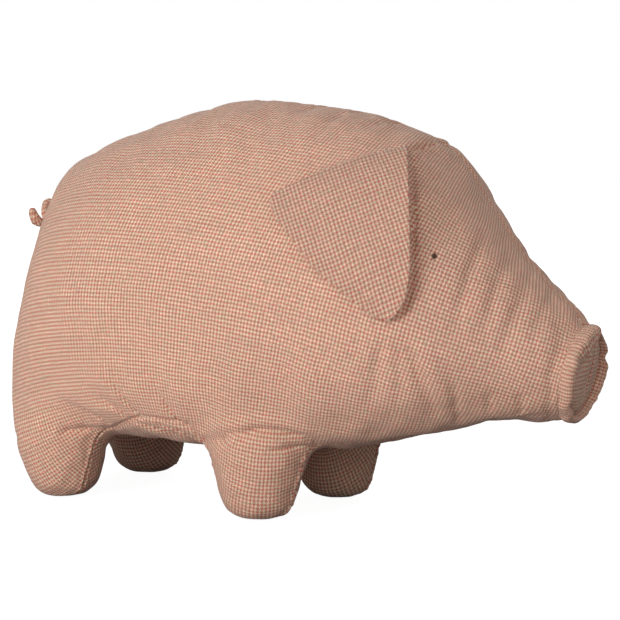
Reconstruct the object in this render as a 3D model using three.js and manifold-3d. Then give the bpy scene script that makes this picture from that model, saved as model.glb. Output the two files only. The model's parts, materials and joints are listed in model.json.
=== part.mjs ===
// A stuffed pig sewn from small-checked cotton, in millimetres, +X to the snout, +Y to its left, +Z up.
// Each cloth panel and each lump of stuffing is a closed solid of its own.

import * as THREE from 'three';
import { mergeVertices } from 'three/addons/utils/BufferGeometryUtils.js';
import Module from 'manifold-3d';

const wasm = await Module();
wasm.setup();

// Cloth, seams and the slack between neighbouring pieces.
const clothThickness = 1.2;
const seamGap = 0.3;
const cutOverrun = 4;

// Body and head, from the rump to the ring that carries the snout. X is measured from between the feet.
const rumpReach = 157;
const headReach = 307;
const backHeight = 300;
const bodyHalfWidth = 106;
const bodyRings = 27;
const bodySides = 26;

// Belly panel, seen from below, and the plane between the stuffing of the torso and of the head.
const bellyRearReach = 139;
const bellyFrontReach = 214;
const bellyHalfWidth = 74;
const bellyTopHeight = 120;
const neckReach = 136;
const neckLean = THREE.MathUtils.degToRad(12);

// Legs. The soles are cut flat on the floor. Each is a share of the body's half width from the middle,
// and each sole stands a step of two lengths, forwards and inwards, off its top.
const frontLegReach = 84;
const rearLegReach = 91.5;
const legAcrossShare = 0.54;
const rightFrontStep = [-3, -3];
const leftFrontStep = [12, 22];
const rightRearStep = [0, 0];
const leftRearStep = [5, 5];
const legHeight = 112;
const legHalfLength = 41;
const legHalfWidth = 35;
const soleCut = 0.5;
const legRings = 8;
const legSides = 14;

// Ears. The seam is found on the head by its two ends, each a share of the body's length and of the
// back's height, and the flap hangs from it.
const earSeamRearShares = [0.569, 0.7867];
const earSeamFrontShares = [0.7414, 0.8867];
const earLength = 117;
const earFacingTilt = THREE.MathUtils.degToRad(16);
const earClearance = 1.1;
const earLayerThickness = 1.1;
const earFrontLift = 8.5;
const earRows = 8;
const earColumns = 8;

// Snout: a gathered cuff with a padded disc sunk into it.
const snoutHalfHeight = 35.2;
const snoutHalfWidth = 35;
const snoutLean = THREE.MathUtils.degToRad(12.5);
const cuffDepth = 15.2;
const cuffWall = 5.5;
const discRecess = 5;
const discDome = 2.5;
const snoutSides = 24;

// Eyes, two small knots of thread, placed by shares of the body's length and of the back's height.
const eyePlaceShares = [0.8177, 0.65];
const eyeHalfLength = 2.7;
const eyeHalfThickness = 1.3;

// Tail, one curl of a narrow tube of cloth.
const tailHeightShare = 0.68;
const tailRadius = 3.8;
const tailStem = 6;
const tailCurlRadius = 7.2;
const tailCurlPitch = 8.5;
const tailTurns = 1.3;
const tailSteps = 22;
const tailSides = 8;

// One row to a section of the body, from the rump to the snout: reach and height of its top, reach and
// height of its bottom, half width, height of the widest place, and how square its lower half is. The
// upper halves are all as square as the share that follows.
const bodyShares = [
  [0.06, 0.691, 0.0, 0.297, 0.0, 0.34, 2.2],
  [0.064, 0.747, 0.001, 0.25, 0.213, 0.335, 2.3],
  [0.086, 0.807, 0.01, 0.206, 0.405, 0.33, 2.7],
  [0.119, 0.858, 0.033, 0.168, 0.62, 0.33, 3.1],
  [0.167, 0.884, 0.098, 0.157, 0.86, 0.375, 3.0],
  [0.246, 0.929, 0.22, 0.153, 0.98, 0.42, 3.0],
  [0.356, 0.979, 0.348, 0.151, 1.0, 0.42, 3.0],
  [0.455, 1.0, 0.456, 0.15, 1.0, 0.42, 3.0],
  [0.573, 0.984, 0.557, 0.158, 0.968, 0.43, 2.9],
  [0.691, 0.947, 0.653, 0.171, 0.922, 0.44, 2.7],
  [0.778, 0.877, 0.737, 0.201, 0.845, 0.46, 2.5],
  [0.83, 0.767, 0.8, 0.229, 0.736, 0.47, 2.4],
  [0.887, 0.66, 0.856, 0.251, 0.594, 0.48, 2.3],
  [0.937, 0.582, 0.899, 0.257, 0.48, 0.49, 2.2],
  [0.973, 0.534, 0.933, 0.256, 0.41, 0.5, 2.2],
  [0.989, 0.512, 0.95, 0.259, 0.37, 0.5, 2.1],
  [0.993, 0.494, 0.9605, 0.267, 0.325, 0.5, 2.1],
];
const upperSquareShare = 2.15;

// Half outline of the belly panel: share of its length from the rear, share of its half width.
const bellyShares = [
  [0.0, 0.16],
  [0.06, 0.5],
  [0.16, 0.8],
  [0.3, 0.96],
  [0.45, 1.0],
  [0.6, 0.98],
  [0.74, 0.86],
  [0.87, 0.56],
  [1.0, 0.1],
];

// One row to a section of a leg: share of its height, of its half length and of its half width.
const legShares = [
  [0.0, 0.22, 0.22],
  [0.014, 0.4, 0.4],
  [0.05, 0.57, 0.58],
  [0.1, 0.67, 0.675],
  [0.2, 0.75, 0.765],
  [0.35, 0.87, 0.89],
  [0.5, 0.97, 0.95],
  [0.68, 1.0, 0.9],
  [1.0, 0.8, 0.55],
];

// The ear's rear and front edges: share along the seam, share of the way down the flap.
const earRearShares = [
  [0.0, 0.0],
  [-0.015, 0.2],
  [0.078, 0.48],
  [0.205, 0.7],
  [0.35, 0.91],
  [0.46, 0.995],
];
const earFrontShares = [
  [1.0, 0.0],
  [0.91, 0.26],
  [0.825, 0.48],
  [0.74, 0.7],
  [0.64, 0.9],
  [0.54, 0.995],
];

// The cuff's outer and inner outlines: share of its depth, share of its wall that it is set in.
const cuffOuterShares = [
  [0.02, 0.5],
  [0.12, 0.15],
  [0.5, 0.0],
  [0.82, 0.06],
  [0.95, 0.25],
  [1.0, 0.5],
];
const cuffInnerShares = [
  [-0.3, 1.0],
  [0.8, 1.0],
  [0.95, 0.75],
  [1.2, 0.5],
];

// The snout disc's dome: share of its rise, share of the way in to its middle.
const discDomeShares = [
  [0.0, 0.0],
  [0.6, 0.2],
  [0.9, 0.5],
  [1.0, 0.85],
];

// The tail: how soon it is at full curl and full stem, and how its ends round off.
const tailCurlShare = 0.5;
const tailStemShare = 0.33;
const tailEndShares = [0.4, 0.75, 0.95];

const checkedCloth = new THREE.MeshStandardMaterial({ color: 0xd3a691, roughness: 0.95, metalness: 0 });
const stuffing = new THREE.MeshStandardMaterial({ color: 0xf2efe8, roughness: 1, metalness: 0 });
const thread = new THREE.MeshStandardMaterial({ color: 0x3a2420, roughness: 0.8, metalness: 0 });

// A curve that passes evenly through points.
function smoothCurve(points) {
  return new THREE.CatmullRomCurve3(points, false, 'catmullrom', 0.5);
}

// A closed skin over rings of points, with a flat fan over its first and last ring.
function loftGeometry(rings) {
  const sides = rings[0].length;
  const points = rings.flat();
  const triangles = [];
  for (let ring = 0; ring + 1 < rings.length; ring++) {
    for (let side = 0; side < sides; side++) {
      const here = ring * sides + side;
      const beside = ring * sides + ((side + 1) % sides);
      triangles.push(here, beside, here + sides);
      triangles.push(beside, beside + sides, here + sides);
    }
  }
  for (const ring of [0, rings.length - 1]) {
    const middle = new THREE.Vector3();
    rings[ring].forEach((point) => middle.addScaledVector(point, 1 / sides));
    points.push(middle);
    for (let side = 0; side < sides; side++) {
      const here = ring * sides + side;
      const beside = ring * sides + ((side + 1) % sides);
      if (ring === 0) {
        triangles.push(points.length - 1, beside, here);
      } else {
        triangles.push(points.length - 1, here, beside);
      }
    }
  }
  return geometryOf(points, triangles);
}

// A closed sheet between a lower and an upper grid of points, with walls along its four edges.
function sheetGeometry(low, high) {
  const columns = low[0].length;
  const points = [...low.flat(), ...high.flat()];
  const above = low.length * columns;
  const triangles = [];
  const addQuad = (a, b, c, d) => triangles.push(a, b, c, c, d, a);
  for (let row = 0; row + 1 < low.length; row++) {
    for (let column = 0; column + 1 < columns; column++) {
      const here = row * columns + column;
      addQuad(here, here + 1, here + columns + 1, here + columns);
      addQuad(above + here, above + here + columns, above + here + columns + 1, above + here + 1);
    }
    const rear = row * columns;
    const front = rear + columns - 1;
    addQuad(rear, rear + columns, above + rear + columns, above + rear);
    addQuad(above + front, above + front + columns, front + columns, front);
  }
  const lastRow = above - columns;
  for (let column = 0; column + 1 < columns; column++) {
    addQuad(above + column, above + column + 1, column + 1, column);
    const end = lastRow + column;
    addQuad(end, end + 1, above + end + 1, above + end);
  }
  return geometryOf(points, triangles);
}

// Points and triangles as a geometry, with equal points joined and collapsed triangles left out.
function geometryOf(points, triangles) {
  const loose = new THREE.BufferGeometry().setFromPoints(points);
  loose.setIndex(triangles);
  const joined = mergeVertices(loose);
  const corners = Array.from(joined.index.array);
  const kept = [];
  for (let at = 0; at < corners.length; at += 3) {
    const [a, b, c] = corners.slice(at, at + 3);
    if (a !== b && b !== c && c !== a) {
      kept.push(a, b, c);
    }
  }
  joined.setIndex(kept);
  return joined;
}

// A geometry as a solid that can be joined and cut, and back again.
function solidOf(geometry) {
  const bare = geometry.clone();
  bare.deleteAttribute('normal');
  bare.deleteAttribute('uv');
  const merged = mergeVertices(bare);
  return new wasm.Manifold(
    new wasm.Mesh({
      numProp: 3,
      vertProperties: new Float32Array(merged.attributes.position.array),
      triVerts: new Uint32Array(merged.index.array),
    }),
  );
}

function geometryFrom(solid) {
  const mesh = solid.getMesh();
  const geometry = new THREE.BufferGeometry();
  geometry.setAttribute('position', new THREE.BufferAttribute(mesh.vertProperties.slice(), 3));
  geometry.setIndex(new THREE.BufferAttribute(mesh.triVerts.slice(), 1));
  geometry.computeVertexNormals();
  return geometry;
}

// A box between two corners, as a cutting tool.
function boxBetween(low, high) {
  const size = new THREE.Vector3().subVectors(high, low);
  const middle = new THREE.Vector3().addVectors(low, high).multiplyScalar(0.5);
  const box = new THREE.BoxGeometry(size.x, size.y, size.z);
  box.translate(middle.x, middle.y, middle.z);
  return box;
}

const bodyLength = rumpReach + headReach;
const reachAt = (share) => share * bodyLength - rumpReach;
const topLine = smoothCurve(
  bodyShares.map(([reach, height]) => new THREE.Vector3(reachAt(reach), 0, height * backHeight)),
);
const bottomLine = smoothCurve(
  bodyShares.map(([, , reach, height]) => new THREE.Vector3(reachAt(reach), 0, height * backHeight)),
);
const girthLine = smoothCurve(
  bodyShares.map(([, , , , width, widest, square]) => new THREE.Vector3(width, widest, square)),
);

// A point of the body's outer surface: station from 0 at the rump to 1 at the snout, angle from the
// crest over the pig's right flank and round under the belly.
function bodyPoint(station, angle) {
  const top = topLine.getPoint(station);
  const bottom = bottomLine.getPoint(station);
  const girth = girthLine.getPoint(station);
  const roundness = Math.cos(angle) > 0 ? upperSquareShare : girth.z;
  const rise = Math.abs(Math.cos(angle)) ** (2 / roundness);
  const spread = Math.abs(Math.sin(angle)) ** (2 / roundness);
  const middle = bottom.clone().lerp(top, girth.y);
  const point = middle.lerp(Math.cos(angle) > 0 ? top : bottom, rise);
  point.y = -Math.sign(Math.sin(angle)) * Math.max(girth.x, 0) * bodyHalfWidth * spread;
  return point;
}

// The same point moved square to the surface, inwards.
function bodyPointInside(station, angle, depth) {
  const probe = 0.004;
  const before = bodyPoint(Math.max(station - probe, 0), angle);
  const after = bodyPoint(Math.min(station + probe, 1), angle);
  const above = bodyPoint(station, angle - probe);
  const below = bodyPoint(station, angle + probe);
  const along = after.sub(before);
  const around = below.sub(above);
  const inwards = along.cross(around).normalize();
  const point = bodyPoint(station, angle).addScaledVector(inwards, depth);
  if (station === 0 || Math.abs(Math.sin(angle)) < probe) {
    point.y = 0;
  }
  return point;
}

// The whole body and head as one closed form, inset by a depth and run on past the snout ring.
function bodyGeometry(depth, overrun) {
  const rings = [];
  for (let ring = 0; ring <= bodyRings; ring++) {
    const points = [];
    for (let side = 0; side < bodySides; side++) {
      points.push(bodyPointInside(ring / bodyRings, (2 * Math.PI * side) / bodySides, depth));
    }
    rings.push(points);
  }
  if (overrun > 0) {
    const forwards = snoutForwards.clone().multiplyScalar(overrun);
    rings.push(rings[bodyRings].map((point) => point.clone().add(forwards)));
  }
  return loftGeometry(rings);
}

const snoutForwards = new THREE.Vector3(Math.cos(snoutLean), 0, -Math.sin(snoutLean));
const snoutUpwards = new THREE.Vector3(Math.sin(snoutLean), 0, Math.cos(snoutLean));
const bodyForm = bodyGeometry(0, 0);
const bodySolid = solidOf(bodyForm);
const skinSolid = bodySolid.subtract(solidOf(bodyGeometry(clothThickness, cutOverrun)));
const skinInside = solidOf(bodyGeometry(clothThickness, 0));
const fillingSolid = solidOf(bodyGeometry(clothThickness + seamGap, 0));

// Where a straight line from outside first meets the body.
function meetBody(from, direction) {
  const target = new THREE.Mesh(bodyForm);
  const [hit] = new THREE.Raycaster(from, direction.clone().normalize()).intersectObject(target);
  return hit;
}

// Where the right flank lies at a share of the body's length and of the back's height.
function meetFlank([reachShare, heightShare]) {
  return meetBody(corner(reachAt(reachShare), -reachLimit, heightShare * backHeight), corner(0, 1, 0));
}

// A leg as a closed form: its rings shrink by an inset, and its sole is lifted by the same.
function legSolid(reach, across, step, inset) {
  const rows = smoothCurve(legShares.map(([height, length, width]) => new THREE.Vector3(height, length, width)));
  const rings = [];
  for (let ring = 0; ring <= legRings; ring++) {
    const row = rows.getPoint(ring / legRings);
    const sole = -soleCut + Math.max(inset, 0);
    const [forwards, inwards] = step.map((length) => length * (1 - row.x));
    const points = [];
    for (let side = 0; side < legSides; side++) {
      const angle = (2 * Math.PI * side) / legSides;
      points.push(
        new THREE.Vector3(
          reach + forwards + (row.y * legHalfLength - inset) * Math.cos(angle),
          across - Math.sign(across) * inwards + (row.z * legHalfWidth - inset) * Math.sin(angle),
          sole + row.x * (legHeight - sole),
        ),
      );
    }
    rings.push(points);
  }
  return solidOf(loftGeometry(rings));
}

const reachLimit = 2 * bodyLength;
const corner = (x, y, z) => new THREE.Vector3(x, y, z);
const underFloor = solidOf(boxBetween(corner(-reachLimit, -reachLimit, -reachLimit), corner(reachLimit, reachLimit, 0)));

const legAcross = legAcrossShare * bodyHalfWidth;
const legPlaces = [
  ['front_right', frontLegReach, -legAcross, rightFrontStep],
  ['front_left', frontLegReach, legAcross, leftFrontStep],
  ['rear_right', -rearLegReach, -legAcross, rightRearStep],
  ['rear_left', -rearLegReach, legAcross, leftRearStep],
];

// The belly panel's outline pulled straight up as a cutter, wider all round by a margin.
function bellyCutter(margin) {
  const length = bellyRearReach + bellyFrontReach;
  const half = bellyShares.map(([along, width]) => [along * length - bellyRearReach, width * bellyHalfWidth + margin]);
  half[0][0] -= margin;
  half[half.length - 1][0] += margin;
  const edge = new THREE.SplineCurve(half.map(([x, y]) => new THREE.Vector2(x, y))).getPoints(4 * bellyShares.length);
  const mirrored = edge.map((point) => new THREE.Vector2(point.x, -point.y)).reverse();
  const outline = new THREE.Shape([...edge, ...mirrored]);
  return solidOf(new THREE.ExtrudeGeometry(outline, { depth: bellyTopHeight, bevelEnabled: false }));
}

const pig = new THREE.Group();

function addPiece(name, geometry, material) {
  const piece = new THREE.Mesh(geometry, material);
  piece.name = name;
  pig.add(piece);
  return piece;
}

// Side panels and belly panel: one skin, cut along its seams and opened for the legs.
function addPanels() {
  let openSkin = skinSolid;
  for (const [, reach, across, step] of legPlaces) {
    openSkin = openSkin.subtract(legSolid(reach, across, step, -seamGap));
  }
  const sides = openSkin.subtract(bellyCutter(seamGap));
  const nearLimit = corner(-reachLimit, -reachLimit, -reachLimit);
  const farLimit = corner(reachLimit, reachLimit, reachLimit);
  const leftHalf = boxBetween(corner(-reachLimit, -seamGap / 2, -reachLimit), farLimit);
  const rightHalf = boxBetween(nearLimit, corner(reachLimit, seamGap / 2, reachLimit));
  addPiece('side_panel_right', geometryFrom(sides.subtract(solidOf(leftHalf))), checkedCloth);
  addPiece('side_panel_left', geometryFrom(sides.subtract(solidOf(rightHalf))), checkedCloth);
  addPiece('belly_panel', geometryFrom(openSkin.intersect(bellyCutter(0))), checkedCloth);
}

// The stuffing under the panels, parted at the neck. The head's stuffing runs on into the snout.
function addBodyStuffing() {
  const gap = seamGap / 2;
  const cutter = (low, high) => {
    const box = boxBetween(corner(low, -reachLimit, -reachLimit), corner(high, reachLimit, reachLimit));
    box.rotateY(neckLean);
    box.translate(neckReach, 0, 0);
    return solidOf(box);
  };
  const plug = solidOf(snoutLoft([
    [-cutOverrun, cuffWall + seamGap],
    [cuffDepth - discRecess - clothThickness - seamGap, cuffWall + seamGap],
  ]));
  addPiece('torso_stuffing', geometryFrom(fillingSolid.subtract(cutter(-gap, reachLimit))), stuffing);
  addPiece('head_stuffing', geometryFrom(fillingSolid.subtract(cutter(-reachLimit, gap)).add(plug)), stuffing);
}

// Legs: a sewn cover, open at its top where it joins the body, and the stuffing inside it.
function addLegs() {
  for (const [name, reach, across, step] of legPlaces) {
    const outside = legSolid(reach, across, step, 0);
    const inside = legSolid(reach, across, step, clothThickness);
    const core = legSolid(reach, across, step, clothThickness + seamGap);
    const cover = outside.subtract(inside).subtract(skinInside).subtract(underFloor);
    addPiece(`leg_${name}_cover`, geometryFrom(cover), checkedCloth);
    addPiece(`leg_${name}_stuffing`, geometryFrom(core.subtract(skinInside)), stuffing);
  }
}

// Where the snout's middle line leaves the head's front ring.
const ringTop = bodyPoint(1, 0);
const ringBottom = bodyPoint(1, Math.PI);
const snoutRoot = ringBottom.clone().lerp(ringTop, 0.5);

// A ring of the snout: distance along its middle line and how far it is set in from the outline.
function snoutRing(distance, inset) {
  const points = [];
  for (let side = 0; side < snoutSides; side++) {
    const angle = (2 * Math.PI * side) / snoutSides;
    const point = snoutRoot.clone().addScaledVector(snoutForwards, distance);
    point.addScaledVector(snoutUpwards, Math.cos(angle) * (snoutHalfHeight - inset));
    point.y -= Math.sin(angle) * (snoutHalfWidth - inset);
    points.push(point);
  }
  return points;
}

function snoutLoft(rows) {
  return loftGeometry(rows.map(([distance, inset]) => snoutRing(distance, inset)));
}

// The cuff is a rounded band, and the disc is a slightly domed cloth face sunk inside it.
function addSnout() {
  const outline = (shares) => snoutLoft(shares.map(([depth, inset]) => [depth * cuffDepth, inset * cuffWall]));
  const outside = outline(cuffOuterShares);
  const bore = outline(cuffInnerShares);
  addPiece('snout_cuff', geometryFrom(solidOf(outside).subtract(solidOf(bore))), checkedCloth);
  const back = cuffDepth - discRecess - clothThickness;
  const edge = cuffWall + seamGap;
  const middle = Math.min(snoutHalfHeight, snoutHalfWidth) - edge;
  const front = back + clothThickness;
  const dome = discDomeShares.map(([rise, inwards]) => [front + rise * discDome, edge + inwards * middle]);
  addPiece('snout_disc', snoutLoft([[back, edge], ...dome]), checkedCloth);
}

// Ears: two layers each, an outer one over a lining, laid along the head and lifted at the front edge.
function addEars() {
  const rearEnd = meetFlank(earSeamRearShares).point;
  const frontEnd = meetFlank(earSeamFrontShares).point;
  const along = frontEnd.clone().sub(rearEnd);
  const seamLength = along.length();
  along.normalize();
  const outwards = corner(0, -Math.cos(earFacingTilt), Math.sin(earFacingTilt));
  outwards.addScaledVector(along, -outwards.dot(along)).normalize();
  const down = along.clone().cross(outwards);
  const edgeCurve = (shares) => smoothCurve(shares.map(([s, t]) => corner(s * seamLength, t * earLength, 0)));
  const rearEdge = edgeCurve(earRearShares);
  const frontEdge = edgeCurve(earFrontShares);

  const sheet = (height) => {
    const rows = [];
    for (let row = 0; row <= earRows; row++) {
      const points = [];
      for (let column = 0; column <= earColumns; column++) {
        const across = column / earColumns;
        const place = rearEdge.getPoint(row / earRows).lerp(frontEdge.getPoint(row / earRows), across);
        const start = rearEnd.clone().addScaledVector(along, place.x).addScaledVector(down, place.y);
        start.addScaledVector(outwards, reachLimit);
        const lift = earFrontLift * across ** 2 * Math.sin((Math.PI * row) / (earRows + 1));
        const point = meetBody(start, outwards.clone().negate()).point;
        points.push(point.addScaledVector(outwards, height + lift));
      }
      rows.push(points);
    }
    return rows;
  };

  const layer = (under, over) => sheetGeometry(sheet(under), sheet(over));
  const liningTop = earClearance + earLayerThickness;
  const layers = [
    ['lining', layer(earClearance, liningTop)],
    ['outer', layer(liningTop + seamGap, liningTop + seamGap + earLayerThickness)],
  ];
  for (const [name, geometry] of layers) {
    addPiece(`ear_right_${name}`, geometry, checkedCloth);
    addPiece(`ear_left_${name}`, mirrored(geometry), checkedCloth);
  }
}

// The same geometry on the pig's other side.
function mirrored(geometry) {
  const other = geometry.clone();
  other.scale(1, -1, 1);
  const corners = Array.from(other.index.array);
  for (let at = 0; at < corners.length; at += 3) {
    [corners[at], corners[at + 1]] = [corners[at + 1], corners[at]];
  }
  other.setIndex(corners);
  return other;
}

// Eyes: knots of thread seated on the head.
function addEyes() {
  const hit = meetFlank(eyePlaceShares);
  const knot = new THREE.OctahedronGeometry(1, 2);
  knot.scale(eyeHalfLength, eyeHalfLength, eyeHalfThickness);
  const bare = geometryFrom(solidOf(knot));
  const outwards = hit.face.normal.clone();
  bare.applyQuaternion(new THREE.Quaternion().setFromUnitVectors(corner(0, 0, 1), outwards));
  const seat = hit.point.clone().addScaledVector(outwards, eyeHalfThickness + seamGap);
  bare.translate(seat.x, seat.y, seat.z);
  addPiece('eye_right', bare, thread);
  addPiece('eye_left', mirrored(bare), thread);
}

// Tail: a rounded root on the rump, a short stem and one curl.
function addTail() {
  const tailHeight = tailHeightShare * backHeight;
  const seat = meetBody(corner(-reachLimit, 0, tailHeight), corner(1, 0, 0));
  const root = seat.point.x + (seamGap + tailRadius) / seat.face.normal.x;
  const path = [];
  for (let step = 0; step <= tailSteps; step++) {
    const turned = (2 * Math.PI * tailTurns * step) / tailSteps;
    const along = step / tailSteps;
    const grown = tailCurlRadius * Math.min(1, along / tailCurlShare);
    const back = tailStem * Math.min(1, along / tailStemShare) + tailCurlPitch * tailTurns * along;
    path.push(corner(root - back, -grown * Math.sin(turned), tailHeight + grown * (1 - Math.cos(turned))));
  }
  const line = smoothCurve(path);
  const rings = [];
  const frames = line.computeFrenetFrames(tailSteps, false);
  const ringAt = (step, radius, slide) => {
    const points = [];
    for (let side = 0; side < tailSides; side++) {
      const angle = (2 * Math.PI * side) / tailSides;
      const point = line.getPointAt(step / tailSteps).addScaledVector(frames.tangents[step], slide);
      point.addScaledVector(frames.normals[step], radius * Math.cos(angle));
      points.push(point.addScaledVector(frames.binormals[step], radius * Math.sin(angle)));
    }
    return points;
  };
  const roundEnd = tailEndShares.map((share) => [share, Math.sqrt(1 - share ** 2)]);
  for (const [share, slide] of roundEnd) {
    rings.push(ringAt(0, share * tailRadius, -slide * tailRadius));
  }
  for (let step = 0; step <= tailSteps; step++) {
    rings.push(ringAt(step, tailRadius, 0));
  }
  for (const [share, slide] of roundEnd.toReversed()) {
    rings.push(ringAt(tailSteps, share * tailRadius, slide * tailRadius));
  }
  addPiece('tail', loftGeometry(rings), checkedCloth);
}

addPanels();
addBodyStuffing();
addLegs();
addSnout();
addEars();
addEyes();
addTail();

// The origin lies on the floor under the middle of the pig's whole length.
const middleReach = new THREE.Box3().setFromObject(pig, true).getCenter(new THREE.Vector3()).x;
pig.position.x = -middleReach;

export default pig;
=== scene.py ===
"""A standing pig sewn from small-checked cotton and stuffed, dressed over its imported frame, in metres."""

import json
import math

import bmesh
import bpy
import numpy as np
from bpy.props import FloatProperty, FloatVectorProperty, IntProperty, PointerProperty
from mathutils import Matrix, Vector, noise
from mathutils.bvhtree import BVHTree
from mathutils.interpolate import poly_3d_calc


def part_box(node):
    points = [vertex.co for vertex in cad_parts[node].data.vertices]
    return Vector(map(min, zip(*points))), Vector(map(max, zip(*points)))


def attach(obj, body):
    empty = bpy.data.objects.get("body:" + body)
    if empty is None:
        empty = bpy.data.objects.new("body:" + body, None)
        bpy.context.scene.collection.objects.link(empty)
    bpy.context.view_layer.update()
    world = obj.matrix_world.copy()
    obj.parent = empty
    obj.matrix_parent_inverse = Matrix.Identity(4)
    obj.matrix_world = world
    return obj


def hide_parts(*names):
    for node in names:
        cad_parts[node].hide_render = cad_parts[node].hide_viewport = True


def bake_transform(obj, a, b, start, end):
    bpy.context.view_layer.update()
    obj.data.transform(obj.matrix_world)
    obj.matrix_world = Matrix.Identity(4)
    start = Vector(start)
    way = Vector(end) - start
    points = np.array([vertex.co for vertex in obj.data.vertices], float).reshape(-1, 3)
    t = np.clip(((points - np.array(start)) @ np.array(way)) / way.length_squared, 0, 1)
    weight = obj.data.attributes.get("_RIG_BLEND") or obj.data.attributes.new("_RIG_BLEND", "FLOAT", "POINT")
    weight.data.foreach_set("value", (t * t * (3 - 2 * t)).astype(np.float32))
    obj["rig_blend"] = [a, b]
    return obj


bl_info = {
    "name": "Checked Cotton Pig",
    "version": (1, 0, 0),
    "blender": (4, 5, 0),
    "location": "3D View > Sidebar > Sewn Pig",
    "description": "Sews the cloth, stuffing, ears, snout, eyes and tail of a stuffed pig over its frame",
    "category": "Object",
}

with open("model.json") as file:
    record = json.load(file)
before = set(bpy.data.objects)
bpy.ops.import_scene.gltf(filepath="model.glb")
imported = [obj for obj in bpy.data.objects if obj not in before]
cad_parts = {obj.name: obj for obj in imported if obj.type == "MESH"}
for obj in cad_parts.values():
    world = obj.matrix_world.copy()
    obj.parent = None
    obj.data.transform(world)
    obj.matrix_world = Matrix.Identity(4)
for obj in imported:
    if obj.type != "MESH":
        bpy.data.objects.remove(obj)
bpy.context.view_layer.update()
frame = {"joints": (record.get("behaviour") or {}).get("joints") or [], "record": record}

MM = 0.001


# Kinds of property.


def a_length(name, description, millimetres):
    return FloatProperty(name=name, description=description, default=millimetres * MM, unit="LENGTH")


def an_angle(name, description, degrees):
    return FloatProperty(name=name, description=description, default=math.radians(degrees), unit="ROTATION")


def a_share(name, description, default):
    return FloatProperty(name=name, description=description, default=default, subtype="FACTOR")


def a_power(name, description, watts):
    return FloatProperty(name=name, description=description, default=watts, unit="POWER")


def a_colour(name, description, default):
    return FloatVectorProperty(name=name, description=description, default=default, subtype="COLOR")


# The body's sections, measured from between the feet: reach and height of the top, reach and height of the
# bottom, half width, height of the widest place, and how square the lower half is.
RUMP_REACH, HEAD_REACH = 157 * MM, 307 * MM
BACK_HEIGHT, BODY_HALF_WIDTH = 300 * MM, 106 * MM
UPPER_SQUARENESS = 2.15
SECTIONS = [
    (0.06, 0.691, 0.0, 0.297, 0.0, 0.34, 2.2),
    (0.064, 0.747, 0.001, 0.25, 0.213, 0.335, 2.3),
    (0.086, 0.807, 0.01, 0.206, 0.405, 0.33, 2.7),
    (0.119, 0.858, 0.033, 0.168, 0.62, 0.33, 3.1),
    (0.167, 0.884, 0.098, 0.157, 0.86, 0.375, 3.0),
    (0.246, 0.929, 0.22, 0.153, 0.98, 0.42, 3.0),
    (0.356, 0.979, 0.348, 0.151, 1.0, 0.42, 3.0),
    (0.455, 1.0, 0.456, 0.15, 1.0, 0.42, 3.0),
    (0.573, 0.984, 0.557, 0.158, 0.968, 0.43, 2.9),
    (0.691, 0.947, 0.653, 0.171, 0.922, 0.44, 2.7),
    (0.778, 0.877, 0.737, 0.201, 0.845, 0.46, 2.5),
    (0.83, 0.767, 0.8, 0.229, 0.736, 0.47, 2.4),
    (0.887, 0.66, 0.856, 0.251, 0.594, 0.48, 2.3),
    (0.937, 0.582, 0.899, 0.257, 0.48, 0.49, 2.2),
    (0.973, 0.534, 0.933, 0.256, 0.41, 0.5, 2.2),
    (0.989, 0.512, 0.95, 0.259, 0.37, 0.5, 2.1),
    (0.993, 0.494, 0.9605, 0.267, 0.325, 0.5, 2.1),
]

# The legs: where each stands, how far its sole is stepped, and the sections of one from the sole up.
FRONT_LEG_REACH, REAR_LEG_REACH, LEG_ACROSS = 84 * MM, 91.5 * MM, 57.24 * MM
LEG_HEIGHT, LEG_HALF_LENGTH, LEG_HALF_WIDTH = 112 * MM, 41 * MM, 35 * MM
LEGS = [
    ("front_right", FRONT_LEG_REACH, -LEG_ACROSS, (-3 * MM, -3 * MM)),
    ("front_left", FRONT_LEG_REACH, LEG_ACROSS, (12 * MM, 22 * MM)),
    ("rear_right", -REAR_LEG_REACH, -LEG_ACROSS, (0.0, 0.0)),
    ("rear_left", -REAR_LEG_REACH, LEG_ACROSS, (5 * MM, 5 * MM)),
]
LEG_SECTIONS = [
    (0.0, 0.22, 0.22),
    (0.014, 0.4, 0.4),
    (0.05, 0.57, 0.58),
    (0.1, 0.67, 0.675),
    (0.2, 0.75, 0.765),
    (0.35, 0.87, 0.89),
    (0.5, 0.97, 0.95),
    (0.68, 1.0, 0.9),
    (1.0, 0.8, 0.55),
]

# Half width of the belly panel along the pig: its seam swings out between the legs and runs down them.
BELLY_SEAM = [
    (-139, -3),
    (-128, 42),
    (-112, 57),
    (-92, 59),
    (-70, 66),
    (-52, 67),
    (-38, 69),
    (-22, 80),
    (-9, 86),
    (2, 88.2),
    (30, 88.4),
    (40, 84),
    (48, 68),
    (56, 57),
    (110, 57),
    (124, 58),
    (150, 47),
    (182, 27),
    (214, -3),
]
BELLY_TOP = 100 * MM

# How far the seam along the crest and the forehead strays to the pig's left.
CREST_STRAY = [(-130, 0), (-80, 3), (0, 6), (120, 7), (150, 12), (190, 15), (225, 15), (245, 11), (265, 5), (290, 0)]

# The snout's ring of cloth: its size, lean and depth.
SNOUT_HALF_HEIGHT, SNOUT_HALF_WIDTH, SNOUT_LEAN = 35.2 * MM, 35 * MM, math.radians(12.5)
HEAD_OVERLAP = 6 * MM


def soles_shift():
    """How far the frame's origin lies from the point between the feet."""
    sole = next(m for m in frame["record"]["mounts"] if m["name"] == "sole_rear_right")
    return sole["pos_m"][0] + REAR_LEG_REACH


SHIFT = soles_shift()


# The forms that the cloth is sewn over.


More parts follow.
